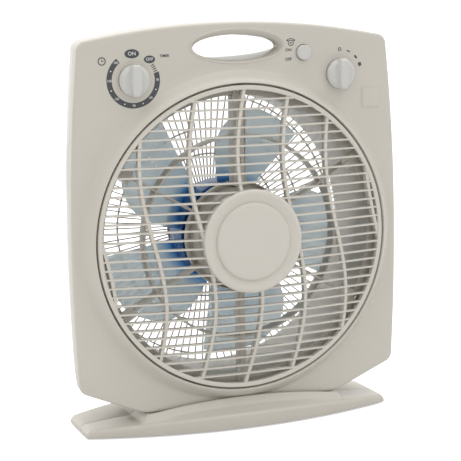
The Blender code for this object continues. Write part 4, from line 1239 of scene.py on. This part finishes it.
def make_screws():
    cross_screws("screws_case", [f"case_screw_{k}" for k in range(1, 5)], 1)
    cross_screws("screws_guard", [f"grille_screw_{k}" for k in range(1, 5)], 1)
    cross_screws("screws_base", [f"base_screw_{k}" for k in range(1, 5)], -1, "Z")
    cross_screws("screws_bracket", [f"bracket_screw_{k}" for k in range(1, 4)], -1)
    low, high = span("cord_inlet")
    x, _, z = middle("cord_inlet")
    bush = [(3.4, low[1]), (6.2, low[1]), (6.2, REAR_Y + 0.3), (9.0, REAR_Y + 0.3), (9.0, REAR_Y + 2.2)]
    bush += [(7.4, high[1]), (3.4, high[1])]
    inlet = Shape().turned(soften(bush, 0.8), 60, (x, z)).made("inlet_bush")
    place(inlet, "housing", "dark_plastic", ("cord_inlet",))


def dress_cad_nodes():
    """Gives every CAD node that still shows the material of its slot."""
    for part in frame["record"]["subparts"]:
        node = frame["nodes"][part["node"]]
        node.data.materials.clear()
        node.data.materials.append(LOOKS[part["material_slot"]])


# Camera, light and floor

CAMERA_AT = (-0.5872, -1.5180, 0.4715)
CAMERA_LENS = 111.48
YAW, PITCH, ROLL = 21.19, 8.82, -0.95
ROOM_AT_HORIZON = 0.62
ROOM_OVERHEAD = 1.15
FLOOR_GLOW = 0.5
PAPER = ((0.77, 0.77, 0.77), (0.79, 0.79, 0.79))
LIGHT_AIM = (0.0, 0.0, 0.22)
LIGHTS = (  # name, place, size and watts
    ("key", (1.1, -1.7, 2.0), (1.4, 1.4), 3.0),
    ("overhead", (0.2, 0.3, 2.4), (2.6, 2.0), 16.0),
    ("behind_left", (-1.3, 1.6, 0.8), (1.8, 1.8), 7.0),
    ("behind_right", (0.5, 1.9, 0.9), (2.0, 1.6), 5.0),
)


def make_camera():
    data = bpy.data.cameras.new("camera")
    data.sensor_width = 36.0
    data.lens = CAMERA_LENS
    data.clip_end = 60.0
    yaw, pitch, roll = (math.radians(value) for value in (YAW, PITCH, ROLL))
    forward = Vector((math.sin(yaw) * math.cos(pitch), math.cos(yaw) * math.cos(pitch), -math.sin(pitch)))
    level = Vector((math.cos(yaw), -math.sin(yaw), 0.0))
    upward = level.cross(forward)
    right = math.cos(roll) * level + math.sin(roll) * upward
    up = math.cos(roll) * upward - math.sin(roll) * level
    rows = [[right[k], up[k], -forward[k], CAMERA_AT[k]] for k in range(3)]
    camera = bpy.data.objects.new("camera", data)
    camera.matrix_world = Matrix(rows + [[0.0, 0.0, 0.0, 1.0]])
    bpy.context.scene.collection.objects.link(camera)
    bpy.context.scene.camera = camera


def soft_light(name, at, size, power):
    data = bpy.data.lights.new(name, "AREA")
    data.shape = "RECTANGLE"
    data.size, data.size_y = size
    data.energy = power
    light = bpy.data.objects.new(name, data)
    light.location = at
    light.rotation_euler = (Vector(LIGHT_AIM) - Vector(at)).to_track_quat("-Z", "Y").to_euler()
    bpy.context.scene.collection.objects.link(light)


def make_world():
    """A white room: brighter overhead than at the horizon, and plain white behind the object."""
    world = bpy.data.worlds.new("studio")
    world.use_nodes = True
    tree = world.node_tree
    tree.nodes.remove(tree.nodes["Background"])
    coords = tree.nodes.new("ShaderNodeTexCoord").outputs["Generated"]
    height = new_node(tree, "SeparateXYZ", Vector=coords)
    strength = spread(tree, height.outputs["Z"], ROOM_AT_HORIZON, ROOM_OVERHEAD, 0.0, 0.9)
    room = new_node(tree, "Background", Color=(1.0, 0.995, 0.985, 1.0), Strength=strength)
    seen = new_node(tree, "Background", Color=(1.0, 1.0, 1.0, 1.0), Strength=1.05)
    mix = new_node(tree, "MixShader", Fac=tree.nodes.new("ShaderNodeLightPath").outputs["Is Camera Ray"])
    tree.links.new(room.outputs["Background"], mix.inputs[1])
    tree.links.new(seen.outputs["Background"], mix.inputs[2])
    feed(tree, tree.nodes["World Output"], Surface=mix.outputs["Shader"])
    bpy.context.scene.world = world


def make_floor():
    """A wide sheet of pale paper, lit evenly enough to pass into the white behind it."""
    bpy.ops.mesh.primitive_plane_add(size=60.0, location=(0.0, 0.0, 0.0))
    floor = bpy.context.object
    floor.name = "floor"
    made, tree, surface, coords = shader("floor_paper", 0.9, Specular_IOR_Level=0.1)
    rays = tree.nodes.new("ShaderNodeLightPath").outputs["Is Camera Ray"]
    feed(
        tree,
        surface,
        Base_Color=ramp(tree, noise(tree, coords, 1.5), ((0.3, PAPER[0]), (0.7, PAPER[1]))),
        Emission_Color=(1.0, 1.0, 1.0, 1.0),
        Emission_Strength=spread(tree, rays, 0.0, FLOOR_GLOW, 0.0, 1.0),
    )
    floor.data.materials.append(made)


def make_studio():
    make_world()
    make_floor()
    for light in LIGHTS:
        soft_light(*light)
    bpy.context.scene.view_settings.view_transform = "Standard"


make_camera()
make_studio()
dress_cad_nodes()
make_front_shell()
make_face_details()
make_rear_shell()
make_rear_guard()
make_louvre()
make_cap()
make_bracket()
make_drum()
make_fan()
make_controls()
make_prints()
make_base()
make_screws()
